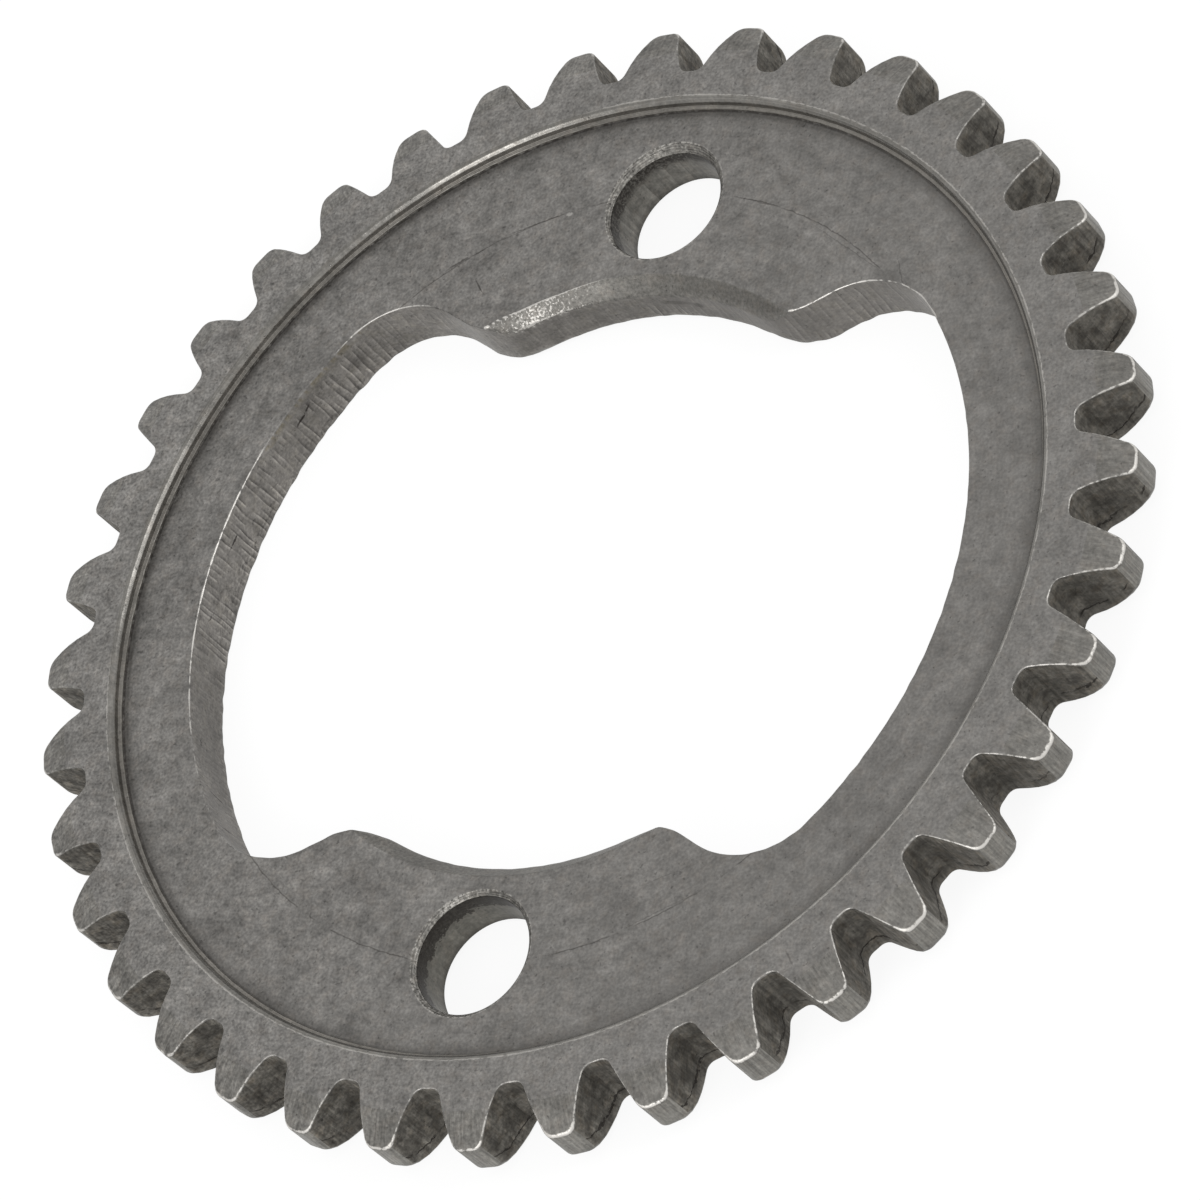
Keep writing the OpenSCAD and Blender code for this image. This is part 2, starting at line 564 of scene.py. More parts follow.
@dataclass(frozen=True)
class TurnedStep:
    """The step from the raised rim down to the web: chamfer, wall, ledge and second wall."""
    outer_r: float = 33.2
    rim_z: float = 4.8
    web_z: float = 4.0
    inner_r: float = 31.8
    # Three corners of the chamfer, foot of the wall, edge and foot of the ledge, and a row on the
    # web where the painted shade at the foot ends
    corners: tuple[StepCorner, ...] = (
        StepCorner(33.04, 4.8, 0.06),
        StepCorner(32.86, 4.73, 0.05, 0.002),
        StepCorner(32.69, 4.52, 0.05, 0.003),
        StepCorner(32.65, 4.2, 0.04, 0.004, -0.1),
        StepCorner(32.45, 4.13, 0.03, 0.008, -0.15),
        StepCorner(32.4, 4.0, 0.05, 0.012, -1.0),
        StepCorner(32.15, 4.0, 0.08, 0.0, -0.45),
    )
    round_points: int = 4
    columns: int = 480
    # Where the rim's and the chamfer's rows of faces end, and how many rows the web has
    rim_end: int = 1
    chamfer_end: int = 10
    web_rows: int = 7
    # Rubbed brightness and painted highlight of the chamfer's top edge by row
    top_wear_and_glint: tuple[tuple[int, float], ...] = ((1, 0.75), (2, 0.7), (3, 0.4))
    # Painted highlight of the chamfer's lower half and of the ledge's edge by row, where the
    # lamps' reflections fall by angle, and the share by which it takes the place of the top edge's
    low_glint: tuple[tuple[int, float], ...] = (
        (5, 0.2), (6, 0.35), (7, 0.45), (8, 0.45), (9, 0.2), (18, 0.7), (19, 0.7))
    low_glint_at: AngleTable = (
        (0, 0.0), (254, 0.0), (265, 1.0), (342, 1.0), (352, 0.0), (360, 0.0))
    top_loss: float = 0.8
    # Middle and half width of the stretch without painted highlight, and the share of it lost
    # there
    dull_middle: float = 300.0
    dull_half: float = 13.0
    dull_share: float = 0.9
    # Angle of the side with the most painted shade, and the share of it that the other side has
    most_shaded_side: float = 305.7
    other_side_share: float = 0.2

    def surfaces(self) -> tuple[list[Surface], np.ndarray, np.ndarray]:
        """The step, its profile turned round the axis.

        Each corner's line wanders by its own small share of smooth noise.

        Returns:
            The surfaces, and the loops that the rim's face and the web start from.
        """
        profile = rounded_profile(
            [(self.outer_r, self.rim_z), *((c.radius, c.z) for c in self.corners),
             (self.inner_r, self.web_z)],
            [c.reach for c in self.corners], self.round_points)
        groups = [1, *[self.round_points] * len(self.corners), 1]
        wander, shade_and_dirt = (np.repeat([0.0, *values, 0.0], groups)[:, None] for values in (
            [c.wander for c in self.corners], [c.shade_and_dirt for c in self.corners]))
        a = np.linspace(0, 360, self.columns + 1)
        plane = (profile[:, :1] + wander * ripple(a, 9))[..., None] * directions(a)[None]
        height = np.broadcast_to(profile[:, 1:], plane.shape[:2])
        along = np.concatenate([[0], np.cumsum(np.linalg.norm(np.diff(profile, axis=0), axis=1))])
        pattern = np.stack(np.broadcast_arrays(np.radians(a)[None] * self.outer_r,
                                               along[:, None]), axis=-1)
        kinds = np.full(len(profile) - 1, Zone.STEP.value)
        kinds[:self.chamfer_end] = Zone.CHAMFER.value
        kinds[:self.rim_end] = Zone.RIM.value
        kinds[-self.web_rows:] = Zone.WEB.value
        # Painted highlights: the lamps' reflections on the chamfer and ledge by angle, and the
        # bright top edge
        low = at_angles(a, self.low_glint_at)
        bright = (in_rows(len(profile), self.top_wear_and_glint) * (1 - self.top_loss * low)
                  + in_rows(len(profile), self.low_glint) * low)
        dull = 1 - self.dull_share * np.exp(-((a - self.dull_middle) / self.dull_half) ** 2)
        # Painted shade at the corners' feet, strongest on the far side
        facing = 0.5 + 0.5 * np.cos(np.radians(a - self.most_shaded_side))
        wear_and_painted_light = bright * dull + shade_and_dirt * (self.other_side_share + (1 - self.other_side_share) * facing)
        zones = np.broadcast_to(kinds[:, None], (len(kinds), self.columns))
        made = Surface.grid(raised(plane, height), pattern, zones, wear_and_painted_light)
        return [made], plane[0, :-1], plane[-1, :-1]


@dataclass(frozen=True)
class CentreOpening:
    """The lobed opening: two pilot arcs, four ears, four pockets and two wide side arcs."""
    pilot_r: float = 19.7
    window_r: float = 27.45
    pocket_r: float = 5.9
    pocket_angle: float = 51.5
    ear_r: float = 5.1
    ear_angle: float = 25.0
    front_chamfer: float = 1.0
    back_chamfer: float = 0.4
    web_z: float = 4.0
    front_edge: float = 0.11
    back_edge: float = 0.12
    crease_reach: float = 0.06
    # Steps on the pilot circle, ear, link, pocket and side circle
    line_steps: tuple[int, int, int, int, int] = (40, 28, 6, 40, 86)
    edge_steps: int = 4
    wall_steps: int = 8
    # Insets of the rows after the front and back edges, in widths of the chamfer
    front_collar: tuple[float, ...] = (0.35, 0.55, 0.75, 0.92, 1.0, 1.08, 1.3)
    back_collar: tuple[float, ...] = (1.1, 1.3, 1.5, 1.7, 2.2)
    # Shares by which the edges ripple, their least radius, and what the ears have more
    front_ripple: float = 0.2
    back_ripple: float = 0.4
    least_edge: float = 0.03
    ear_front: float = 0.15
    ear_back: float = 0.25
    # Where the ears are, from the middle of a side arc, and half the width of one
    ear_middle: float = 61.0
    ear_half: float = 4.0
    # The rough end of the front chamfer: where it is shallower and by how much, its middle, its
    # strength there before it fades, the length over which it fades, the rubbed brightness on the
    # chamfer, and the rubbed brightness with painted highlight on its outer edge
    shallow_at: AngleTable = ((328, 0.0), (334, 1.0), (343, 1.0), (352, 0.0))
    shallow_by: float = 0.2
    rough_spot: tuple[float, float] = (-7.9, 18.4)
    rough_start: float = 1.45
    rough_length: float = 4.6
    rough_wear: float = 0.85
    outer_wear_and_glint: float = 1.7
    outer_half: float = 0.05
    # Depth to which the torn wall leans, and how fast the lean turns with the height
    tear_depth: float = 0.02
    lean_turn: float = 1.7
    # Rubbed brightness and painted highlight of the front edge by angle
    edge_wear_and_glint_at: AngleTable = (
        (0, 0.1), (25, 0.1), (33, 1.0), (52, 1.0), (55, 0.5), (62, 0.5), (68, 0.4), (90, 0.4),
        (180, 0.3), (222, 0.2), (228, 0.4), (240, 0.4), (246, 0.6), (254, 0.8), (258, 1.0),
        (288, 1.0), (292, 0.25), (303, 0.2), (309, 0.8), (318, 0.7), (324, 0.2), (331, 0.3),
        (334, 1.7), (344, 1.5), (350, 0.5), (354, 0.2), (360, 0.1))
    # Torn metal on the wall by angle
    torn_at: AngleTable = (
        (0, 0.8), (7, 0.8), (9, 0.22), (20, 0.2), (50, 0.45), (72, 0.75), (110, 0.75),
        (140, 0.45), (220, 0.45), (246, 0.15), (257, 0.22), (264, 0.8), (274, 0.8), (277, 1.0),
        (284, 1.0), (287, 0.8), (308, 0.8), (312, 0.4), (330, 0.2), (357, 0.22), (359, 0.8),
        (360, 0.8))
    # Heights by angle above which the wall is smooth and below which it is rough, the fade
    # at both, and where the smooth band is burnished, with its fade
    smooth_above: AngleTable = (
        (0, 1.9), (8, 1.9), (10, 4.2), (286, 4.2), (291, 3.35), (310, 3.35), (314, 4.2),
        (356, 4.2), (358, 1.9), (360, 1.9))
    rough_below: AngleTable = (
        (0, 0.7), (262, 0.9), (265, 1.9), (274, 1.8), (278, 1.0), (308, 1.0), (318, 0.6),
        (360, 0.7))
    torn_fade: float = 0.3
    burnished_at: AngleTable = ((286, 0.0), (291, 1.0), (310, 1.0), (314, 0.0))
    burnished_fade: float = 0.2
    # Painted shade on the wall and on the front chamfer by angle
    wall_shade_at: AngleTable = (
        (0, 0.32), (30, 0.32), (36, 0.0), (206, 0.0), (215, 0.3), (257, 0.3), (264, 0.0),
        (288, 0.0), (297, 0.25), (312, 0.25), (318, 0.0), (326, 0.0), (331, 0.32), (360, 0.32))
    chamfer_shade_at: AngleTable = (
        (0, 0.05), (8, 0.3), (40, 0.3), (180, 0.1), (352, 0.0), (360, 0.05))

    def outline(self) -> Outline:
        """The closed outline of the opening, from +Y.

        Pilot circle, ear, straight link, pocket and side circle follow each other and share
        their tangents. The other three quarters are its mirror images.

        Returns:
            The outline.
        """
        pocket = directions(self.pocket_angle) * (self.window_r - self.pocket_r)
        ear = directions(self.ear_angle) * (self.pilot_r + self.ear_r)
        link = pocket - ear
        span = np.linalg.norm(link)
        cosine = (self.ear_r + self.pocket_r) / span
        across = np.array([-link[1], link[0]])
        touch = (link * cosine - across * math.sqrt(1 - cosine ** 2)) / span
        touch_a = angle_of(touch)
        on_pilot, on_ear, on_link, on_pocket, on_side = self.line_steps
        quarter = Outline.chain(
            Outline.arc((0, 0), self.pilot_r, 0, self.ear_angle, on_pilot, -1),
            Outline.arc(ear, self.ear_r, self.ear_angle + 180, touch_a, on_ear, 1),
            Outline.straight(ear + touch * self.ear_r, pocket - touch * self.pocket_r, touch,
                             on_link),
            Outline.arc(pocket, self.pocket_r, touch_a - 180, self.pocket_angle, on_pocket, -1),
            Outline.arc((0, 0), self.window_r, self.pocket_angle, 90, on_side, -1),
        )
        half = Outline.chain(quarter, quarter.mirrored(1))
        return Outline.chain(half, half.mirrored(0))

    def chamfer_drop(self, place: np.ndarray, width: np.ndarray) -> np.ndarray:
        """Drop of a 45 degree cone at plane points: the way inside its outer circle."""
        past = self.pilot_r + width - np.linalg.norm(place, axis=-1)
        return soft_ramp(past, self.crease_reach)

    def face(self, line: Outline, edge: np.ndarray, collar: tuple[float, ...],
             width: np.ndarray) -> tuple[np.ndarray, np.ndarray]:
        """Plane points and depths of one side, from the wall to the end of its collar.

        Args:
            line: The outline.
            edge: Radius of its rounded edge at each point.
            collar: Insets of the rows after the edge, in widths of the cone.
            width: Width of the cone at each point.

        Returns:
            Plane points and depths, rows by the outline's points.
        """
        inset, drop = quarter_round(edge, self.edge_steps)
        outer = np.array(collar)[:, None] * width[None]
        place = line.inset(np.vstack([inset, outer]))
        depth = self.chamfer_drop(place, width)
        depth[:len(drop)] += drop
        return place, depth

    def torn(self, angle: np.ndarray, height: np.ndarray) -> np.ndarray:
        """Torn metal on the wall by angle and height.

        Its share below the smooth band, up to twice that at the rough foot, -1 on the band.

        Args:
            angle: Angle of each point of the outline.
            height: Heights, rows by points.

        Returns:
            Shares, rows by points.
        """
        share, top, foot, band = (at_angles(angle, table) for table in (
            self.torn_at, self.smooth_above, self.rough_below, self.burnished_at))
        rough = 1 + np.clip((foot - height) / self.torn_fade, 0, 1)
        below = np.clip((top - height) / self.torn_fade, 0, 1)
        above = np.clip((height - top) / self.burnished_fade, 0, 1)
        return share * rough * below - band * above

    def front_wear_glint_and_shade(self, front: np.ndarray, width: np.ndarray, angle: np.ndarray) -> np.ndarray:
        """Rubbed brightness along the front side's edge and over the rough end of the chamfer,
        with painted highlight along the edge, and painted shade on the chamfer.

        Args:
            front: Plane points, rows by the outline's points.
            width: Width of the cone at each point of the outline.
            angle: Angle of each point of the outline.

        Returns:
            Shares, rows by points.
        """
        wear_and_painted_light = np.zeros(front.shape[:2])
        # Rubbed brightness and painted highlight of the front edge by angle
        wear_and_painted_light[:self.edge_steps + 1] = edge_wear_and_glint(self.edge_steps) * at_angles(
            angle, self.edge_wear_and_glint_at)
        off = np.linalg.norm(front - np.array(self.rough_spot), axis=-1)
        rough = np.clip(self.rough_start - off / self.rough_length, 0, 1)
        past = np.linalg.norm(front, axis=-1) - self.pilot_r - width
        # Painted shade on the chamfer by angle
        grime_and_shade = at_angles(angle, self.chamfer_shade_at) * (wear_and_painted_light == 0)
        wear_and_painted_light = np.where(past < 0, np.maximum(wear_and_painted_light, rough * self.rough_wear) - grime_and_shade, wear_and_painted_light)
        return np.where(np.abs(past) < self.outer_half,
                        np.maximum(wear_and_painted_light, rough * self.outer_wear_and_glint), wear_and_painted_light)

    def surfaces(self) -> tuple[list[Surface], np.ndarray, np.ndarray]:
        """Front collar, wall and back collar of the opening.

        The wall's rows lean in and out by smooth noise where it is torn.

        Returns:
            The surfaces, and the loops that the web and the back start from.
        """
        line = self.outline()
        run = line.run()
        angle = angles_of(line.points)
        angle[-1] = 360.0
        from_side = np.abs(angle % 180 - 90)
        ear = np.exp(-((from_side - self.ear_middle) / self.ear_half) ** 2)
        width = self.front_chamfer - self.shallow_by * at_angles(angle, self.shallow_at)
        front_r = self.front_edge * (1 + self.front_ripple * ripple(run, 5))
        back_r = self.back_edge * (1 + self.back_ripple * ripple(run, 6))
        front, front_depth = self.face(line, front_r + self.ear_front * ear, self.front_collar,
                                       width)
        back, back_depth = self.face(
            line, np.maximum(back_r, self.least_edge) + self.ear_back * ear, self.back_collar,
            np.full_like(run, self.back_chamfer))
        top = self.web_z - front_depth
        wear_and_painted_light = self.front_wear_glint_and_shade(front, width, angle)
        zones = np.where(face_radii(front) < self.pilot_r + width[1:],
                         Zone.PILOT_CHAMFER.value, Zone.WEB.value)
        t = np.linspace(0, 1, self.wall_steps + 1)[:, None]
        wall_z = top[0] * (1 - t) + back_depth[0] * t
        torn = self.torn(angle, wall_z)
        turn = self.lean_turn * wall_z
        lean = ripple(run, 11) * np.cos(turn) + ripple(run, 12) * np.sin(turn)
        depth = self.tear_depth * np.sin(np.pi * t) * np.clip(torn, 0, 1) * lean
        wall_map = np.stack([np.broadcast_to(run, wall_z.shape), wall_z], axis=-1)
        made = [
            Surface.grid(raised(front, top), front, zones, wear_and_painted_light),
            # The wall, with painted shade by angle
            Surface.grid(raised(line.inset(depth), wall_z), wall_map, Zone.WINDOW_WALL,
                         -at_angles(angle, self.wall_shade_at), torn),
            Surface.grid(raised(back, back_depth), back, Zone.BACK),
        ]
        return made, front[-1, :-1], back[-1, :-1]


@dataclass(frozen=True)
class BoltHole:
    """A bolt hole with a chamfer at each mouth.

    The front chamfer's outer circle may stand off the bore's axis, which makes the chamfer
    wide on one side and narrow on the other.
    """
    y: float
    bore_zone: Zone
    radius: float = 3.9
    front_chamfer: float = 0.3
    shift: float = 0.0
    back_chamfer: float = 0.3
    web_z: float = 4.0
    # Reach of a soft edge, share of it by which its middle row stands off the corner, and
    # widths of the rows of web and back round the mouths
    edge_reach: float = 0.04
    edge_sag: float = 0.2
    apron: float = 0.06
    collar: float = 0.22
    columns: int = 144
    bore_steps: int = 4
    # Rubbed brightness and painted highlight of the front chamfer's two outer rows and of the two
    # rows at the mouth, and soiling in the back mouth
    outer_wear_and_glint: tuple[float, float] = (0.5, 0.7)
    mouth_wear_and_glint: float = 0.3
    back_grime: float = -0.5

    def surfaces(self) -> tuple[list[Surface], np.ndarray, np.ndarray]:
        """The hole, its profile turned round its own axis.

        The chamfer's width at the angle a is its mean width plus the shift times cos a.

        Returns:
            The surfaces, and the loops that the web and the back start from.
        """
        a = np.linspace(0, 360, self.columns + 1)
        wide = self.front_chamfer + self.shift * np.cos(np.radians(a))
        soft, sag = self.edge_reach, self.edge_reach * self.edge_sag
        back, deep = self.back_chamfer, self.web_z
        low = deep - back
        # Way out of the bore and down from the web, row by row
        rows = [
            (self.front_chamfer + abs(self.shift) + self.collar, 0),
            (wide + soft + self.apron, 0),
            (wide + soft, 0),
            (wide + sag, sag),
            (wide - soft, soft),
            (soft, wide - soft),
            (sag, wide - sag),
            (0, wide + soft),
            *((0, (wide + soft) * (1 - s) + (low - soft) * s)
              for s in np.linspace(0, 1, self.bore_steps + 1)[1:]),
            (sag, low + sag),
            (soft, low + soft),
            (back - soft, deep - soft),
            (back - sag, deep - sag),
            (back + soft, deep),
            (back + self.collar, deep),
        ]
        out, down = (np.array([np.broadcast_to(value, wide.shape) for value in values])
                     for values in zip(*rows))
        plane = (self.radius + out)[..., None] * directions(a)[None] + np.array([0, self.y])
        pattern = np.stack([np.broadcast_to(np.radians(a) * self.radius, out.shape),
                            deep - down + out], axis=-1)
        kinds = np.full(len(rows) - 1, self.bore_zone.value)
        kinds[:2] = Zone.WEB.value
        kinds[2:6] = Zone.HOLE_CHAMFER.value
        kinds[-5:] = Zone.BACK.value
        # Rubbed brightness and painted highlight on the chamfer's outer rows and mouth, and
        # soiling in the back mouth
        wear_and_painted_light = in_rows(len(rows), (
            (2, self.outer_wear_and_glint[0]), (3, self.outer_wear_and_glint[1]), (4, self.mouth_wear_and_glint),
            (5, self.mouth_wear_and_glint), (-7, self.back_grime), (-6, self.back_grime)))
        zones = np.broadcast_to(kinds[:, None], (len(kinds), self.columns))
        made = Surface.grid(raised(plane, deep - down), pattern, zones, wear_and_painted_light, torn=1.0)
        return [made], plane[0, :-1], plane[-1, :-1]


# Finishes


def linear(code: str) -> tuple[float, float, float, float]:
    """Linear colour of an sRGB hex value.

    Args:
        code: Such as '726F6B'.

    Returns:
        Red, green, blue and an opacity of 1.
    """
    value = np.array([int(code[i:i + 2], 16) for i in (0, 2, 4)]) / 255
    value = np.where(value <= 0.04045, value / 12.92, ((value + 0.055) / 1.055) ** 2.4)
    return (*value.tolist(), 1.0)


def add(tree: bpy.types.NodeTree, kind: str, *values: object, links: dict | None = None,
        out: int | str = 0, **settings: object) -> bpy.types.NodeSocket | None:
    """Adds one node to a tree, with its settings and links.

    Args:
        tree: The tree.
        kind: The node's type name, without ShaderNode.
        values: Value or output socket for each of its first inputs.
        links: The same for other inputs, by name or number.
        out: Name or number of the output that is wanted.
        settings: The node's properties by name.

    Returns:
        That output, or nothing from a node without outputs.
    """
    node = tree.nodes.new("ShaderNode" + kind)
    for name, value in settings.items():
        setattr(node, name, value)
    for name, value in {**dict(enumerate(values)), **(links or {})}.items():
        if isinstance(value, bpy.types.NodeSocket):
            tree.links.new(value, node.inputs[name])
        else:
            node.inputs[name].default_value = value
    return node.outputs[out] if node.outputs else None


@dataclass(frozen=True)
class Mark:
    """A nick, score or stain: middle, length, width, turn, tilt out of plane and strength."""
    x: float
    y: float
    z: float
    length: float
    width: float
    turn: float
    tilt: float = 0.0
    strength: float = 0.7
    light: bool = False

    @classmethod
    def on_wall(cls, radius: float, angle: float, z: float, length: float, width: float,
                tilt: float, strength: float) -> "Mark":
        """A mark on a wall round the axis, along the wall where its tilt is 0."""
        x, y = radius * directions(np.array(angle))
        return cls(float(x), float(y), z, length, width, -angle, tilt, strength)


@dataclass(frozen=True)
class SteelFinish:
    """Bare hardened steel, dulled by oil and use, with the marks of one kind of tool.

    Each contrast is the share by which that layer lightens and darkens the tone at most.
    """
    name: str
    tone: str
    tint: str = "75695C"
    tint_share: float = 0.15
    # Colour of rubbed bright metal, which also paints highlights and the lamps' reflections on
    # edges and chamfers
    glint: str = "B4B1AC"
    # Colour of soiling, which also paints shade in corners and on flanks and walls
    grime_and_shade: str = "2F2C29"
    roughness: float = 0.5
    clouds: float = 0.55
    blotches: float = 0.55
    grain: float = 0.6
    pits: float = 0.5
    lay: Lay = Lay.NONE
    lay_mm: float = 0.12
    lay_share: float = 0.0
    lay_rise: float = 2.2
    strokes: float = 0.0
    stroke_mm: float = 0.42
    stroke_along: float = 0.3
    relief: float = 0.010
    wear_and_glint_mm: float = 0.45
    wear_and_glint_from: float = 0.38
    grime_and_shade_from: float = 0.3
    grime_and_shade_low: float = 0.5
    radial_shade_from: float = 0.0
    radial_shade_to: float = 0.0
    radial_shade_share: float = 0.0
    stain: tuple[float, float, float] | None = None
    crack: float | None = None
    score_r: float | None = None
    marks: tuple[Mark, ...] = ()

    def material(self) -> bpy.types.Material:
        """The finish as a node material."""
        return FinishTree(self).made


class FinishTree:
    """Builds the nodes of one finish, layer on layer."""

    # Sizes of the noises
    CLOUD_MM = 2.6
    BLOTCH_MM = 0.8
    GRAIN_MM = 0.2
    PIT_MM = 0.3
    SHAKE_MM = 0.5
    CRUMB_MM = 0.4
    # Where the wheel's rough left half turns into its smoother right half, and how much
    # noise counts on each
    ROUGH_SIDE = (30.0, -30.0, 0.75, 1.25)
    # Period of a Wave node at scale 1
    WAVE_PERIOD = math.pi / 10
    # Settings of the waves and of the noise that draw tool marks
    RING_WAVE = {"Distortion": 8.0, "Detail": 4.0, "Detail Scale": 1.6, "Detail Roughness": 0.6}
    STROKE_WAVE = {"Distortion": 4.0, "Detail": 1.0, "Detail Scale": 1.3}
    LAY_NOISE = {"Scale": 1.0, "Detail": 3.0, "Roughness": 0.65}
    # Scale of each kind of marks along their length
    RING_ALONG = 0.25
    AXIAL_ALONG = 0.35
    TURNED_ALONG = 0.03
    RADIAL_ALONG = 0.3
    # Radius at which marks across the axis have their own width
    RADIAL_R = 37
    # Levels of the wave between which a stroke's light and its dark side fade in, and how
    # much each lightens the tone and raises the surface
    STROKE_SIDES = ((0.6, 0.88, 0.5, 1.2), (0.42, 0.1, -0.38, -1.0))
    # Scale of the noise that leaves strokes out, and its levels between which they fade in
    GAP_SCALE = 0.55
    GAP_LEVELS = (0.36, 0.6)
    # By what factor crumbs are longer than high, how much they count and how far they rise
    CRUMB_UP = 1.6
    CRUMB_SHARE = 1.9
    CRUMB_RISE = 1.5
    # A mark fades between these shares of its own size, and noise bends it by up to this
    MARK_FADE = (1.2, 0.5)
    MARK_BEND = 0.12
    # How far blotches and grain move the end of a stain and their mean, its greatest share,
    # and the levels of grain between which its specks fade in
    STAIN_BLOTCH = 1.3
    STAIN_GRAIN = 0.9
    STAIN_MEAN = 1.1
    STAIN_SHARE = 0.9
    SPECK_LEVELS = (0.42, 0.62)
    # The noise that bends the crack and how far, how far grain frays its edge, the levels
    # between which it fades in, and the clouds in which it shows
    CRACK_NOISE = {"Scale": 0.6, "Detail": 3.0, "Roughness": 0.7}
    CRACK_BEND = 1.5
    CRACK_FRAY = 0.3
    CRACK_EDGE = (-0.04, -0.1)
    CRACK_HERE = (0.4, 0.52, 0.0, 0.8)
    # How far blotches bend the scored circle, and the same levels and clouds for it
    SCORE_BEND = 0.22
    SCORE_EDGE = (0.07, 0.01)
    SCORE_HERE = (0.38, 0.54, 0.0, 0.5)
    # Levels of the blotches between which the painted shade by radius thickens, and its share
    # where it is thin
    RADIAL_SHADE_LEVELS = (0.25, 0.6)
    THIN_RADIAL_SHADE = 0.6
    # Noise above which a pit starts, how much a finish's pits lower that, the pit's fade,
    # how much the rough side raises the noise, and how much a pit darkens the tone
    PIT_LEVEL = 0.78
    PIT_MORE = 0.08
    PIT_FADE = 0.08
    PIT_SIDE = 0.06
    PIT_TONE = -0.28
    # How far each kind of fault rises from the surface
    GRAIN_RISE = 0.9
    PIT_RISE = -1.2
    CRACK_RISE = -3.0
    SCORE_RISE = -1.5
    MARK_RISE = -2.0
    # Levels of coloured noise between which the tint fades in, and its share on a
    # burnished band
    TINT_LEVELS = (0.45, 0.7)
    BAND_TINT = 0.6
    # The noise of the patches of rubbed brightness and painted highlight, how much clouds and the
    # attribute that places them add to it, how far past a finish's own level they start, and their
    # fade
    WEAR_AND_GLINT_NOISE = {"Detail": 3.0, "Roughness": 0.6}
    WEAR_AND_GLINT_CLOUDS = 0.4
    WEAR_AND_GLINT_FROM_ATTRIBUTE = 0.25
    WEAR_AND_GLINT_LEVEL = 0.35
    WEAR_AND_GLINT_FADE = 0.2
    # Fade of the patches of soiling and painted shade, and their greatest share
    GRIME_AND_SHADE_FADE = 0.25
    GRIME_AND_SHADE_SHARE = 0.85
    # Roughness that blotches, rubbed brightness with painted highlight, and soiling with painted
    # shade add
    BLOTCH_ROUGH = 0.16
    WEAR_AND_GLINT_ROUGH = -0.12
    GRIME_AND_SHADE_ROUGH = 0.25

    def __init__(self, finish: SteelFinish) -> None:
        """Makes the material.

        Args:
            finish: What to make.
        """
        self.finish = finish
        self.made = bpy.data.materials.new(finish.name)
        self.made.use_nodes = True
        self.made.node_tree.nodes.clear()
        self.node = partial(add, self.made.node_tree)
        self.place = self.node("VectorMath", self.node("TexCoord", out="Object"),
                               links={"Scale": 1 / MM}, operation="SCALE")
        flat = self.node("VectorMath", self.place, (1.0, 1.0, 0.0), operation="MULTIPLY")
        self.radius = self.node("VectorMath", flat, out="Value", operation="LENGTH")
        self.part = self.node("SeparateXYZ", self.place).node.outputs
        self.pattern = self.node("UVMap", uv_map="Pattern")
        self.up = self.node("SeparateXYZ", self.pattern, out=1)
        self.wear_and_painted_light = self.node("Attribute", out="Fac", attribute_name="wear_and_painted_light")
        self.torn = self.node("Attribute", out="Fac", attribute_name="torn")
        self.side = self.node("MapRange", self.part[0], *self.ROUGH_SIDE, **EASED)
        self.clouds, self.blotch, self.grain = (
            self.node("TexNoise", links={"Vector": self.place, "Scale": 1 / size,
                                         "Roughness": 0.7})
            for size in (self.CLOUD_MM, self.BLOTCH_MM, self.GRAIN_MM))
        self.level: bpy.types.NodeSocket | float = 1.0
        self.height = self.node("Math", self.grain, self.GRAIN_RISE, operation="MULTIPLY")
        self.build()

    def vary(self, value: bpy.types.NodeSocket, share: bpy.types.NodeSocket | float,
             sided: bool = True) -> None:
        """Lightens and darkens the level by a value about its mean of a half.

        Args:
            value: The value.
            share: How much it counts.
            sided: Whether it counts more on the wheel's rough side.
        """
        off = self.node("Math", value, 0.5, operation="SUBTRACT")
        if sided:
            off = self.node("Math", off, self.side, operation="MULTIPLY")
        gain = self.node("Math", off, share, 1.0, operation="MULTIPLY_ADD")
        self.level = self.node("Math", self.level, gain, operation="MULTIPLY")

    def raise_by(self, value: bpy.types.NodeSocket, share: float) -> None:
        """Adds a share of a value to the bump height."""
        self.height = self.node("Math", value, share, self.height, operation="MULTIPLY_ADD")

    def lay_value(self) -> bpy.types.NodeSocket:
        """The tool's marks: noise that is fine across them and long along them.

        Rings in a countersunk mouth are even enough to be a wave that noise bends.

        Returns:
            Their value, about a mean of a half.
        """
        lay, fine = self.finish.lay, 1 / self.finish.lay_mm
        if lay is Lay.RINGS:
            line = self.node("Mapping", self.pattern, links={"Scale": (self.RING_ALONG, 1, 1)})
            return self.node("TexWave", out="Fac", bands_direction="Y", links={
                "Vector": line, "Scale": self.WAVE_PERIOD * fine, **self.RING_WAVE})
        if lay is Lay.AXIAL:
            line = self.node("Mapping", self.pattern,
                             links={"Scale": (fine, self.AXIAL_ALONG, 1)})
        elif lay is Lay.TURNED:
            line = self.node("CombineXYZ", *(
                self.node("Math", part, scale, operation="MULTIPLY") for part, scale in (
                    (self.radius, fine), (self.part[0], self.TURNED_ALONG),
                    (self.part[1], self.TURNED_ALONG))))
        else:
            turn = self.node("Math", self.part[0], self.part[1], operation="ARCTAN2")
            line = self.node(
                "CombineXYZ",
                self.node("Math", turn, self.RADIAL_R * fine, operation="MULTIPLY"),
                self.node("Math", self.radius, self.RADIAL_ALONG, operation="MULTIPLY"),
                self.part[2])
        return self.node("TexNoise", links={"Vector": line, **self.LAY_NOISE})

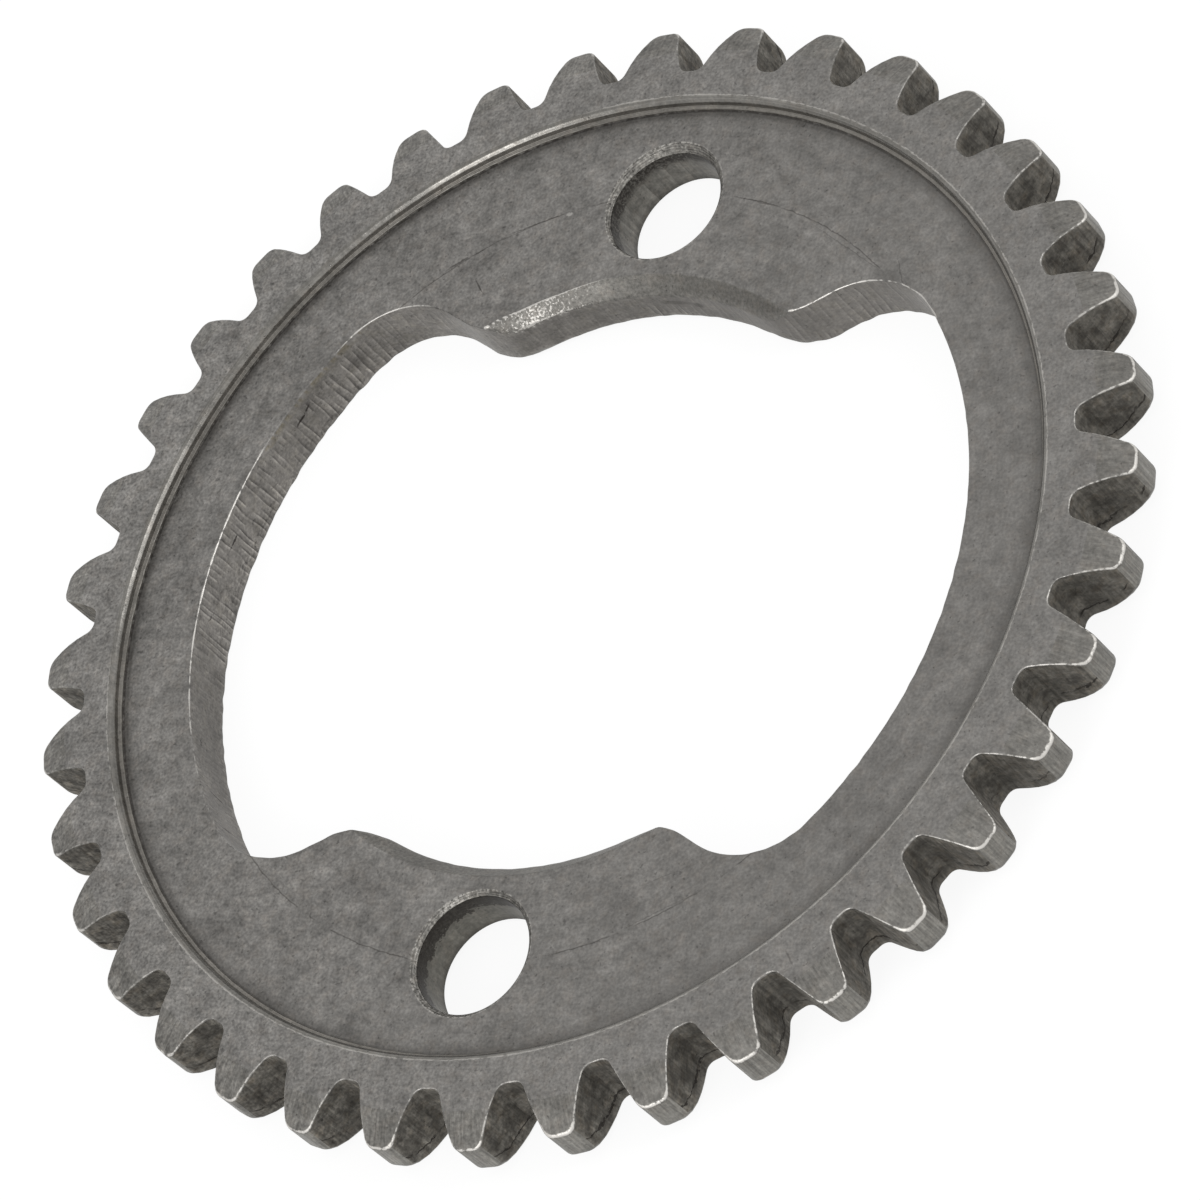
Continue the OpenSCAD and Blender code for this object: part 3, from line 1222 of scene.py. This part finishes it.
    def tear(self) -> None:
        """Strokes that a punch tore up the wall, and the rough metal at its foot.

        A stroke is where a wave along the wall falls from its crest: light on the crest
        and dark beyond it. Noise bends the wave and makes strokes strong, weak or absent.
        """
        f = self.finish
        foot = self.node("MapRange", self.torn, 1.0, 2.0, **EASED)
        line = self.node("Mapping", self.pattern, links={"Scale": (1, f.stroke_along, 1)})
        wave = self.node("TexWave", out="Fac", wave_profile="SAW", links={
            "Vector": line, "Scale": self.WAVE_PERIOD / f.stroke_mm, **self.STROKE_WAVE})
        some = self.node("TexNoise", links={"Vector": line,
                                            "Scale": self.GAP_SCALE / f.stroke_mm})
        share = self.node("Math", self.torn, foot, operation="SUBTRACT")
        share = self.node("MapRange", share, 0.0, 1.0, 0.0, f.strokes)
        share = self.node("Math", share,
                          self.node("MapRange", some, *self.GAP_LEVELS, **EASED),
                          operation="MULTIPLY")
        for low, high, light, rise in self.STROKE_SIDES:
            part = self.node("Math", self.node("MapRange", wave, low, high, **EASED), share,
                             operation="MULTIPLY")
            gain = self.node("Math", part, light, 1.0, operation="MULTIPLY_ADD")
            self.level = self.node("Math", self.level, gain, operation="MULTIPLY")
            self.raise_by(part, rise)
        crumbs = self.node("TexNoise", links={
            "Vector": self.node("Mapping", self.pattern, links={"Scale": (1, self.CRUMB_UP, 1)}),
            "Scale": 1 / self.CRUMB_MM, "Roughness": 0.6})
        self.vary(crumbs, self.node("Math", foot, self.CRUMB_SHARE * f.strokes,
                                    operation="MULTIPLY"))
        self.raise_by(self.node("Math", crumbs, foot, operation="MULTIPLY"), self.CRUMB_RISE)

    def marked(self, warped: bpy.types.NodeSocket, mark: Mark) -> bpy.types.NodeSocket:
        """The strength of a mark inside it, a long ellipsoid in warped coordinates.

        Args:
            warped: Those coordinates.
            mark: The mark.

        Returns:
            Its strength inside and 0 outside.
        """
        local = self.node("Mapping", warped, vector_type="TEXTURE", links={
            "Location": (mark.x, mark.y, mark.z),
            "Rotation": (0.0, math.radians(mark.tilt), math.radians(mark.turn)),
            "Scale": (mark.length / 2, mark.width / 2, mark.width)})
        far = self.node("VectorMath", local, out="Value", operation="LENGTH")
        return self.node("MapRange", far, *self.MARK_FADE, 0.0, mark.strength, **EASED)

    def stain(self, band: tuple[float, float, float]) -> bpy.types.NodeSocket:
        """Speckled black band from a bore's mouth down to a ragged end.

        Args:
            band: Heights between which the band fades out, and its share in the specks.

        Returns:
            The share of grime.
        """
        ragged = self.node("Math", self.blotch, self.STAIN_BLOTCH, self.up,
                           operation="MULTIPLY_ADD")
        ragged = self.node("Math", self.grain, self.STAIN_GRAIN, ragged,
                           operation="MULTIPLY_ADD")
        share = self.node("MapRange", ragged, band[0] + self.STAIN_MEAN,
                          band[1] + self.STAIN_MEAN, 0.0, self.STAIN_SHARE, **EASED)
        specks = self.node("MapRange", self.grain, *self.SPECK_LEVELS, 1.0, band[2], **EASED)
        return self.node("Math", share, specks, operation="MULTIPLY")

    def crack(self, height: float) -> bpy.types.NodeSocket:
        """The wavy black crack that runs along a flank.

        Args:
            height: Height at which it runs.

        Returns:
            The share of grime.
        """
        bend = self.node("TexNoise", links={"Vector": self.pattern, **self.CRACK_NOISE})
        wavy = self.node("Math", bend, -self.CRACK_BEND, self.up, operation="MULTIPLY_ADD")
        off = self.node("Math", wavy, height - self.CRACK_BEND / 2, operation="SUBTRACT")
        off = self.node("Math", off, operation="ABSOLUTE")
        off = self.node("Math", self.grain, -self.CRACK_FRAY, off, operation="MULTIPLY_ADD")
        line = self.node("MapRange", off, *self.CRACK_EDGE, **EASED)
        here = self.node("MapRange", self.clouds, *self.CRACK_HERE, **EASED)
        return self.node("Math", line, here, operation="MULTIPLY")

    def score(self, radius: float) -> bpy.types.NodeSocket:
        """The broken dark circle that is scored in the web.

        Args:
            radius: Its radius.

        Returns:
            The share of grime.
        """
        wavy = self.node("Math", self.blotch, self.SCORE_BEND, self.radius,
                         operation="MULTIPLY_ADD")
        off = self.node("Math", wavy, radius + self.SCORE_BEND / 2, operation="SUBTRACT")
        off = self.node("Math", off, operation="ABSOLUTE")
        here = self.node("MapRange", self.clouds, *self.SCORE_HERE, **EASED)
        line = self.node("MapRange", off, *self.SCORE_EDGE, **EASED)
        return self.node("Math", line, here, operation="MULTIPLY")

    def shade_and_dirt(self) -> list[tuple[bpy.types.NodeSocket, float]]:
        """Painted shade by radius, stain at a bore's mouth, crack and scored circle.

        Returns:
            The share of grime of each, and how much it lowers the bump height.
        """
        f, made = self.finish, []
        if f.radial_shade_share:
            # Painted shade that darkens the face towards a radius
            near = self.node("MapRange", self.radius, f.radial_shade_from, f.radial_shade_to, **EASED)
            thick = self.node("MapRange", self.blotch, *self.RADIAL_SHADE_LEVELS,
                              f.radial_shade_share * self.THIN_RADIAL_SHADE, f.radial_shade_share, **EASED)
            made.append((self.node("Math", near, thick, operation="MULTIPLY"), 0.0))
        if f.stain:
            made.append((self.stain(f.stain), 0.0))
        if f.crack:
            made.append((self.crack(f.crack), self.CRACK_RISE))
        if f.score_r:
            made.append((self.score(f.score_r), self.SCORE_RISE))
        return made

    def pitted(self) -> None:
        """Small dark pits, closer together on the rough side."""
        specks = self.node("TexNoise", links={"Vector": self.place, "Scale": 1 / self.PIT_MM,
                                              "Detail": 1.0})
        specks = self.node("Math", self.side, self.PIT_SIDE, specks, operation="MULTIPLY_ADD")
        low = self.PIT_LEVEL - self.finish.pits * self.PIT_MORE
        pit = self.node("MapRange", specks, low, low + self.PIT_FADE, **EASED)
        gain = self.node("Math", pit, self.PIT_TONE, 1.0, operation="MULTIPLY_ADD")
        self.level = self.node("Math", self.level, gain, operation="MULTIPLY")
        self.raise_by(pit, self.PIT_RISE)

    def tinted(self) -> bpy.types.NodeSocket:
        """The steel's tone with its brown tint, scaled by the level.

        Returns:
            The colour.
        """
        f = self.finish
        share = self.node("MapRange", self.blotch.node.outputs["Color"], *self.TINT_LEVELS, 0.0,
                          f.tint_share, **EASED)
        if f.strokes:
            band = self.node("MapRange", self.torn, 0.0, -1.0, 0.0, self.BAND_TINT, **EASED)
            share = self.node("Math", share, band, operation="MAXIMUM")
        colour = self.node("Mix", share, out=2, data_type="RGBA",
                           links={6: linear(f.tone), 7: linear(f.tint)})
        return self.node("VectorMath", colour, links={"Scale": self.level}, operation="SCALE")

    def marks(self) -> tuple[list[tuple[bpy.types.NodeSocket, float]],
                             list[bpy.types.NodeSocket]]:
        """The finish's marks, bent by noise.

        Returns:
            Share and rise of each dark mark, which is also a dent, and shares of the light
            ones.
        """
        shake = self.node("TexNoise", out="Color", links={
            "Vector": self.place, "Scale": 1 / self.SHAKE_MM, "Roughness": 0.7})
        warped = self.node("VectorMath", shake, (2 * self.MARK_BEND,) * 3, self.place,
                           operation="MULTIPLY_ADD")
        warped = self.node("VectorMath", warped, (self.MARK_BEND,) * 3, operation="SUBTRACT")
        dark = [(self.marked(warped, m), self.MARK_RISE) for m in self.finish.marks
                if not m.light]
        return dark, [self.marked(warped, m) for m in self.finish.marks if m.light]

    def wear_and_glint(self) -> tuple[bpy.types.NodeSocket, bpy.types.NodeSocket]:
        """Shares of rubbed brightness with painted highlight and of soiling with painted shade,
        both broken by noise.

        Strong brightening is close to whole, and weak brightening is a row of specks.

        Returns:
            Both shares.
        """
        f = self.finish
        patches = self.node("TexNoise", links={
            "Vector": self.place, "Scale": 1 / f.wear_and_glint_mm, **self.WEAR_AND_GLINT_NOISE})
        for value, gain in ((self.clouds, self.WEAR_AND_GLINT_CLOUDS), (self.wear_and_painted_light, self.WEAR_AND_GLINT_FROM_ATTRIBUTE)):
            patches = self.node("Math", value, gain, patches, operation="MULTIPLY_ADD")
        low = f.wear_and_glint_from + self.WEAR_AND_GLINT_LEVEL
        # Rubbed brightness and painted highlight
        bright = self.node("Math", self.node("MapRange", self.wear_and_painted_light, 0.0, 1.0, **EASED),
                           self.node("MapRange", patches, low, low + self.WEAR_AND_GLINT_FADE, **EASED),
                           operation="MULTIPLY")
        # Soiling and painted shade
        grime_and_shade_share = self.node(
            "Math",
            self.node("MapRange", self.wear_and_painted_light, 0.0, -1.0, 0.0, self.GRIME_AND_SHADE_SHARE, **EASED),
            self.node("MapRange", patches, f.grime_and_shade_from, f.grime_and_shade_from + self.GRIME_AND_SHADE_FADE,
                      f.grime_and_shade_low, 1.0, **EASED),
            operation="MULTIPLY")
        return bright, grime_and_shade_share

    def build(self) -> None:
        """Lays clouds, blotches, grain, tool marks, tears, pits, stains and soiling with painted
        shade, and rubbed brightness with painted highlight in turn.
        """
        f = self.finish
        self.vary(self.clouds, f.clouds)
        self.vary(self.blotch, f.blotches)
        self.vary(self.grain, f.grain)
        if f.lay is not Lay.NONE:
            lay = self.lay_value()
            self.vary(lay, f.lay_share, f.lay is Lay.RADIAL)
            self.raise_by(lay, f.lay_share * f.lay_rise)
        if f.strokes:
            self.tear()
        self.pitted()
        colour = self.tinted()
        dark, light = self.marks() if f.marks else ([], [])
        wear_and_glint, grime_and_shade_share = self.wear_and_glint()
        # Radial painted shade, stains, dark marks, soiling and painted shade in the dark colour
        for share, deep in [*self.shade_and_dirt(), *dark, (grime_and_shade_share, 0.0)]:
            colour = self.node("Mix", share, out=2, data_type="RGBA",
                               links={6: colour, 7: linear(f.grime_and_shade)})
            self.raise_by(share, deep)
        for share in light:
            wear_and_glint = self.node("Math", wear_and_glint, share, operation="MAXIMUM")
        # Rubbed brightness and painted highlight in the glint colour
        colour = self.node("Mix", wear_and_glint, out=2, data_type="RGBA",
                           links={6: colour, 7: linear(f.glint)})
        rough = f.roughness - self.BLOTCH_ROUGH / 2
        for share, more in ((self.blotch, self.BLOTCH_ROUGH), (wear_and_glint, self.WEAR_AND_GLINT_ROUGH),
                            (grime_and_shade_share, self.GRIME_AND_SHADE_ROUGH)):
            rough = self.node("Math", share, more, rough, operation="MULTIPLY_ADD")
        bump = self.node("Bump", links={"Height": self.height, "Distance": f.relief * MM})
        shader = self.node("BsdfPrincipled", links={
            "Base Color": colour, "Metallic": 1.0, "Roughness": rough, "Normal": bump})
        self.node("OutputMaterial", shader)


# Nicks and scores on the web, by their middle, length, width and turn
WEB_MARKS = (
    Mark(-14.5, 22.3, 4.0, 1.9, 0.12, 31, strength=0.6),
    Mark(-12.4, 20.5, 4.0, 1.5, 0.14, -51, strength=0.65),
    Mark(-9.3, 24.8, 4.0, 4.6, 0.09, 18, strength=0.5),
    Mark(-13.3, 22.9, 4.0, 5.5, 0.09, 30, strength=0.45),
    Mark(7.2, 25.4, 4.0, 2.4, 0.10, -15, strength=0.4),
    Mark(-5.4, -25.9, 4.0, 2.4, 0.12, -13, strength=0.5),
    Mark(12.3, -23.2, 4.0, 6.4, 0.07, 28, strength=0.3),
    Mark(12.5, -20.7, 4.0, 3.4, 0.08, 22, strength=0.25),
    Mark(14.5, 21.7, 4.0, 8.0, 0.08, -32, strength=0.3),
    Mark(18.8, 19.6, 4.0, 3.6, 0.09, -66, strength=0.3),
    Mark(-6.9, 25.4, 4.0, 0.5, 0.3, 14, strength=0.4, light=True),
)
RIM_MARKS = (
    Mark(23.0, -26.4, 4.8, 1.3, 0.14, -53, strength=0.35),
    Mark(-31.0, -10.7, 4.5, 0.3, 0.22, -35, light=True),
)
# Cracks and dull stains on the walls, by radius, angle, height, length, width and tilt
WALL_MARKS = (
    Mark.on_wall(27.45, 232.5, 2.3, 1.4, 0.12, 84, 0.6),
    Mark.on_wall(27.45, 238.5, 2.2, 1.7, 0.12, 97, 0.6),
    Mark.on_wall(27.45, 246.9, 2.9, 0.9, 0.07, 10, 0.7),
    Mark.on_wall(27.45, 266.1, 2.62, 1.2, 0.08, 27, 0.6),
    Mark.on_wall(27.45, 269.5, 2.2, 1.9, 0.22, 14, 0.3),
    Mark.on_wall(27.45, 277.4, 2.66, 1.7, 0.10, 5, 0.9),
    Mark.on_wall(27.45, 297.0, 2.68, 1.9, 0.12, -11, 1.0),
    Mark.on_wall(27.45, 307.5, 2.0, 2.0, 0.6, 0, 0.35),
    Mark.on_wall(19.7, 364.5, 2.15, 2.5, 0.3, 0, 0.4),
    Mark.on_wall(19.7, 369.2, 2.0, 0.8, 0.35, 20, 0.45),
)
FINISHES: dict[Zone, SteelFinish] = {
    # Turned, then tumbled after hardening: dull grey, speckled with fine pits
    Zone.RIM: SteelFinish("rim_face_tumbled_steel", "7D7B78", glint="BAB7B2", clouds=0.7,
                          blotches=1.1, grain=1.05, pits=1.0, wear_and_glint_mm=0.3, wear_and_glint_from=0.42,
                          marks=RIM_MARKS),
    # Turned across the tips, with short marks across the axis
    Zone.BEVEL: SteelFinish("tip_bevel_turned_steel", "787672", glint="CCC9C4", clouds=0.7,
                            blotches=1.1, grain=1.05, lay=Lay.RADIAL, lay_mm=0.18,
                            lay_share=1.2, roughness=0.58, wear_and_glint_mm=0.3, wear_and_glint_from=0.36),
    # Blanked flanks hold oil residue: slightly brown, torn near the back, and darkened in patches
    # by painted shade
    Zone.FLANK: SteelFinish("tooth_flank_oiled_steel", "75726C", tint="6A6052", tint_share=0.4,
                            clouds=1.5, blotches=1.6, grain=1.0, lay=Lay.AXIAL, lay_mm=0.25,
                            lay_share=1.3, roughness=0.8, strokes=0.3, stroke_mm=0.9,
                            crack=0.85, wear_and_glint_mm=0.9, grime_and_shade_from=0.48, grime_and_shade_low=0.0),
    # The chain polishes the tip lands: lighter, with streaks along the axis
    Zone.TIP: SteelFinish("tip_land_polished_steel", "7B7974", grain=0.9, lay=Lay.AXIAL,
                          lay_mm=0.16, lay_share=1.9, roughness=0.45),
    # The turned chamfer stays bright where it faces a lamp, and painted highlights in its glint
    # colour add the lamps' reflections. Its tool marks are finer than a pixel, so they are drawn
    # 0.1 mm apart.
    Zone.CHAMFER: SteelFinish("rim_chamfer_bright_steel", "75736F", glint="A3A09B",
                              lay=Lay.TURNED, lay_mm=0.1, lay_share=1.3, lay_rise=1.2,
                              roughness=0.31, pits=0.3),
    # Walls and ledge of the step, darkened in their corners by painted shade
    Zone.STEP: SteelFinish("step_wall_turned_steel", "75726D", lay=Lay.TURNED, lay_mm=0.09,
                           lay_share=1.2, glint="9A9792"),
    # Turned web: smoother than the rim, softly clouded, scored on one circle, and darkened by
    # painted shade next to the step
    Zone.WEB: SteelFinish("web_turned_steel", "797774", glint="C4C1BC", clouds=0.9,
                          blotches=1.05, grain=0.85, lay=Lay.TURNED, lay_mm=0.3,
                          lay_share=0.3, pits=0.6, radial_shade_from=31.0, radial_shade_to=32.3,
                          radial_shade_share=0.28, score_r=26.45, marks=WEB_MARKS),
    # Blanked walls show strokes up the wall, a torn foot and dull patches
    Zone.WINDOW_WALL: SteelFinish("window_wall_blanked_steel", "787571", tint="77705F",
                                  clouds=0.7, blotches=0.8, grain=0.75, lay=Lay.AXIAL,
                                  lay_mm=0.24, lay_share=0.35, strokes=1.2, stroke_mm=0.5,
                                  relief=0.02, marks=WALL_MARKS),
    # Bored chamfer: smooth grey, with a rough bright patch at one end
    Zone.PILOT_CHAMFER: SteelFinish("pilot_chamfer_bored_steel", "72706C", grain=1.3,
                                    glint="B4B1AC", roughness=0.53, wear_and_glint_mm=0.16,
                                    wear_and_glint_from=0.53),
    # Countersunk mouths, ringed where the tool chattered
    Zone.HOLE_CHAMFER: SteelFinish("hole_chamfer_countersunk_steel", "73716D",
                                   lay=Lay.RINGS, lay_mm=0.26, lay_share=0.45, lay_rise=1.2,
                                   grain=1.7, blotches=1.6, wear_and_glint_mm=0.2, wear_and_glint_from=0.45,
                                   relief=0.02),
    # Reamed bores are dark, with streaks along the axis and a black band at the mouth
    Zone.UPPER_BORE: SteelFinish("upper_bore_reamed_steel", "6A6863", lay=Lay.AXIAL,
                                 lay_mm=0.3, lay_share=1.2, blotches=1.2, strokes=0.5,
                                 stroke_mm=1.4, stroke_along=0.2, stain=(2.45, 2.8, 0.5)),
    Zone.LOWER_BORE: SteelFinish("lower_bore_stained_steel", "67655F", lay=Lay.AXIAL,
                                 lay_mm=0.3, lay_share=0.6, blotches=1.1, strokes=0.2,
                                 stroke_mm=1.4, stroke_along=0.3, stain=(2.45, 2.58, 0.85)),
    # The ground back is the plainest face
    Zone.BACK: SteelFinish("back_ground_steel", "787672", clouds=0.7, blotches=0.9, grain=0.9,
                           lay=Lay.TURNED, lay_mm=0.3, lay_share=0.35),
}


# Assembly


@dataclass(frozen=True)
class Sprocket:
    """The whole wheel, one closed mesh welded from the surfaces of its sub-assemblies."""
    rim: ToothedRim = ToothedRim()
    step: TurnedStep = TurnedStep()
    opening: CentreOpening = CentreOpening()
    upper_hole: BoltHole = BoltHole(25.75, Zone.UPPER_BORE, shift=0.2)
    lower_hole: BoltHole = BoltHole(-25.75, Zone.LOWER_BORE, back_chamfer=0.45, mouth_wear_and_glint=0.45)

    def surfaces(self) -> list[Surface]:
        """Every surface of the wheel, with flat faces between the sub-assemblies.

        Returns:
            The surfaces, whose shared loops have the same points.
        """
        teeth, rim_outer, back_outer = self.rim.surfaces()
        step, rim_inner, web_outer = self.step.surfaces()
        middle, web_inner, back_inner = self.opening.surfaces()
        upper, upper_front, upper_back = self.upper_hole.surfaces()
        lower, lower_front, lower_back = self.lower_hole.surfaces()
        flats = [
            Surface.flat(rim_outer, [rim_inner], self.rim.thickness, Zone.RIM),
            Surface.flat(web_outer, [web_inner, upper_front, lower_front], self.step.web_z,
                         Zone.WEB),
            Surface.flat(back_outer, [back_inner, upper_back, lower_back], 0.0, Zone.BACK),
        ]
        return teeth + step + middle + upper + lower + flats

    def mesh(self) -> bpy.types.Mesh:
        """Welds the surfaces into one mesh with its pattern map, rubbing and soiling with painted
        light and shade, and material numbers.

        Returns:
            The mesh, closed and in metres.
        """
        parts = self.surfaces()
        starts = np.cumsum([0] + [len(part.points) for part in parts[:-1]])
        points = np.vstack([part.points for part in parts]) * MM
        pattern = np.vstack([part.pattern for part in parts])
        faces = [part.faces + start for part, start in zip(parts, starts)]
        mesh = bpy.data.meshes.new("wheel")
        mesh.from_pydata(points.tolist(), [], [face for block in faces for face in block.tolist()])
        corners = np.concatenate([block.reshape(-1) for block in faces])
        layer = mesh.uv_layers.new(name="Pattern")
        layer.data.foreach_set("uv", pattern[corners].astype(np.float32).reshape(-1))
        # Rubbed brightness and soiling, with painted highlights and painted shade
        wear_and_painted_light = mesh.attributes.new("wear_and_painted_light", "FLOAT", "POINT")
        wear_and_painted_light.data.foreach_set("value", np.concatenate([part.wear_and_painted_light for part in parts]))
        torn = mesh.attributes.new("torn", "FLOAT", "POINT")
        torn.data.foreach_set("value", np.concatenate([part.torn for part in parts]))
        mesh.polygons.foreach_set("material_index", np.concatenate([part.zones for part in parts]))
        bm = bmesh.new()
        bm.from_mesh(mesh)
        bmesh.ops.remove_doubles(bm, verts=bm.verts, dist=WELD_MM * MM)
        bmesh.ops.recalc_face_normals(bm, faces=bm.faces)
        open_edges = sum(not edge.is_manifold for edge in bm.edges)
        bm.to_mesh(mesh)
        bm.free()
        mesh.polygons.foreach_set("use_smooth", np.ones(len(mesh.polygons), bool))
        mesh.update()
        mesh.calc_loop_triangles()
        LOG.info("wheel mesh: %d triangles, %d open edges", len(mesh.loop_triangles), open_edges)
        return mesh

    def build(self) -> bpy.types.Object:
        """Makes the wheel, dresses it and puts it in the place of the CAD node.

        Returns:
            The wheel.
        """
        piece = bpy.data.objects.new("wheel", self.mesh())
        bpy.context.scene.collection.objects.link(piece)
        for zone in Zone:
            piece.data.materials.append(FINISHES[zone].material())
        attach(piece, "root")
        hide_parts("sprocket")
        return piece


# Studio


def polar(azimuth: float, elevation: float, distance: float) -> Vector:
    """Vector of a length in metres towards an azimuth and elevation in degrees."""
    a, e = math.radians(azimuth), math.radians(elevation)
    return Vector((math.cos(a) * math.cos(e), math.sin(a) * math.cos(e), math.sin(e))) * distance


@dataclass(frozen=True)
class StudioCamera:
    """The camera at the photograph's angle, as fitted to the wheel's edges."""
    lens: float = 219.67
    sensor: float = 36.0
    target: tuple[float, float, float] = (1.701, -1.3143, 2.4259)
    distance: float = 447.826
    azimuth: float = -35.6763
    elevation: float = 47.9471
    roll: float = -47.6378

    def build(self) -> bpy.types.Object:
        """Makes the camera and hands it to the scene.

        Returns:
            The camera.
        """
        data = bpy.data.cameras.new("photo_camera")
        data.lens = self.lens
        data.sensor_width = self.sensor
        camera = bpy.data.objects.new("photo_camera", data)
        back = polar(self.azimuth, self.elevation, 1.0)
        level = Vector((-math.sin(math.radians(self.azimuth)),
                        math.cos(math.radians(self.azimuth)), 0))
        rise = back.cross(level)
        turn = math.radians(self.roll)
        right = math.cos(turn) * level + math.sin(turn) * rise
        up = back.cross(right)
        matrix = Matrix((right, up, back)).transposed().to_4x4()
        matrix.translation = (Vector(self.target) + back * self.distance) * MM
        camera.matrix_world = matrix
        bpy.context.scene.collection.objects.link(camera)
        bpy.context.scene.camera = camera
        return camera


@dataclass(frozen=True)
class SoftLamp:
    """A square lamp with a soft edge that faces the wheel."""
    name: str
    azimuth: float
    elevation: float
    power: float
    size: float = 0.26
    distance: float = 0.6

    def build(self) -> bpy.types.Object:
        """Makes the lamp.

        Returns:
            The lamp.
        """
        data = bpy.data.lights.new(self.name, "AREA")
        data.energy = self.power
        data.size = self.size
        lamp = bpy.data.objects.new(self.name, data)
        lamp.location = polar(self.azimuth, self.elevation, self.distance)
        lamp.rotation_euler = lamp.location.to_track_quat("Z", "Y").to_euler()
        bpy.context.scene.collection.objects.link(lamp)
        return lamp


@dataclass(frozen=True)
class Studio:
    """Plain white studio: floor, world and two soft lamps."""
    floor_half: float = 3.0
    floor_drop: float = 0.05
    floor_paper: str = "E6E6E6"
    floor_glow: float = 1.06
    shadow_share: float = 0.16
    # Strength of the surround for rays that light the wheel
    fill: float = 0.9
    lamps: tuple[SoftLamp, ...] = (
        SoftLamp("left_softbox", -89.7, 35.0, 1.0),
        SoftLamp("right_softbox", 18.3, 35.0, 0.7),
    )

    @staticmethod
    def shown(tree: bpy.types.NodeTree) -> bpy.types.NodeSocket:
        """Tells rays that show the background from those that light the wheel.

        Args:
            tree: The tree that asks.

        Returns:
            1 for rays seen straight, mirrored or through glass, and 0 for others.
        """
        path = add(tree, "LightPath").node.outputs
        seen = add(tree, "Math", path["Is Camera Ray"], path["Is Glossy Ray"],
                   operation="MAXIMUM")
        return add(tree, "Math", seen, path["Is Transmission Ray"], operation="MAXIMUM")

    def floor(self) -> bpy.types.Object:
        """The white floor, which keeps a soft shadow of the wheel.

        Returns:
            The floor.
        """
        h, z = self.floor_half, -self.floor_drop * MM
        mesh = bpy.data.meshes.new("floor")
        mesh.from_pydata([(-h, -h, z), (h, -h, z), (h, h, z), (-h, h, z)], [], [(0, 1, 2, 3)])
        paper = bpy.data.materials.new("white_paper")
        paper.use_nodes = True
        tree = paper.node_tree
        tree.nodes.clear()
        matt = add(tree, "BsdfDiffuse", linear(self.floor_paper))
        glow = add(tree, "Emission", (1, 1, 1, 1), self.floor_glow)
        bright = add(tree, "MixShader", self.shadow_share, glow, matt)
        both = add(tree, "MixShader", self.shown(tree), matt, bright)
        add(tree, "OutputMaterial", both)
        floor = bpy.data.objects.new("floor", mesh)
        mesh.materials.append(paper)
        bpy.context.scene.collection.objects.link(floor)
        return floor

    def world(self) -> None:
        """A white surround that shows at full strength and lights the wheel evenly."""
        world = bpy.data.worlds.new("white_surround")
        world.use_nodes = True
        tree = world.node_tree
        tree.nodes.clear()
        level = add(tree, "MapRange", self.shown(tree), links={3: self.fill, 4: 1.0})
        add(tree, "OutputWorld", add(tree, "Background", (1, 1, 1, 1), level))
        bpy.context.scene.world = world

    def build(self) -> None:
        """Makes the floor, the world and the lamps."""
        self.floor()
        self.world()
        for lamp in self.lamps:
            lamp.build()
        bpy.context.scene.view_settings.view_transform = "Standard"


def main() -> None:
    """Builds the wheel, the camera and the studio."""
    logging.basicConfig(level=logging.INFO, format="%(message)s")
    wheel = Sprocket().build()
    LOG.info("piece %s rides on root", wheel.name)
    StudioCamera().build()
    Studio().build()


if __name__ == "__main__":
    main()
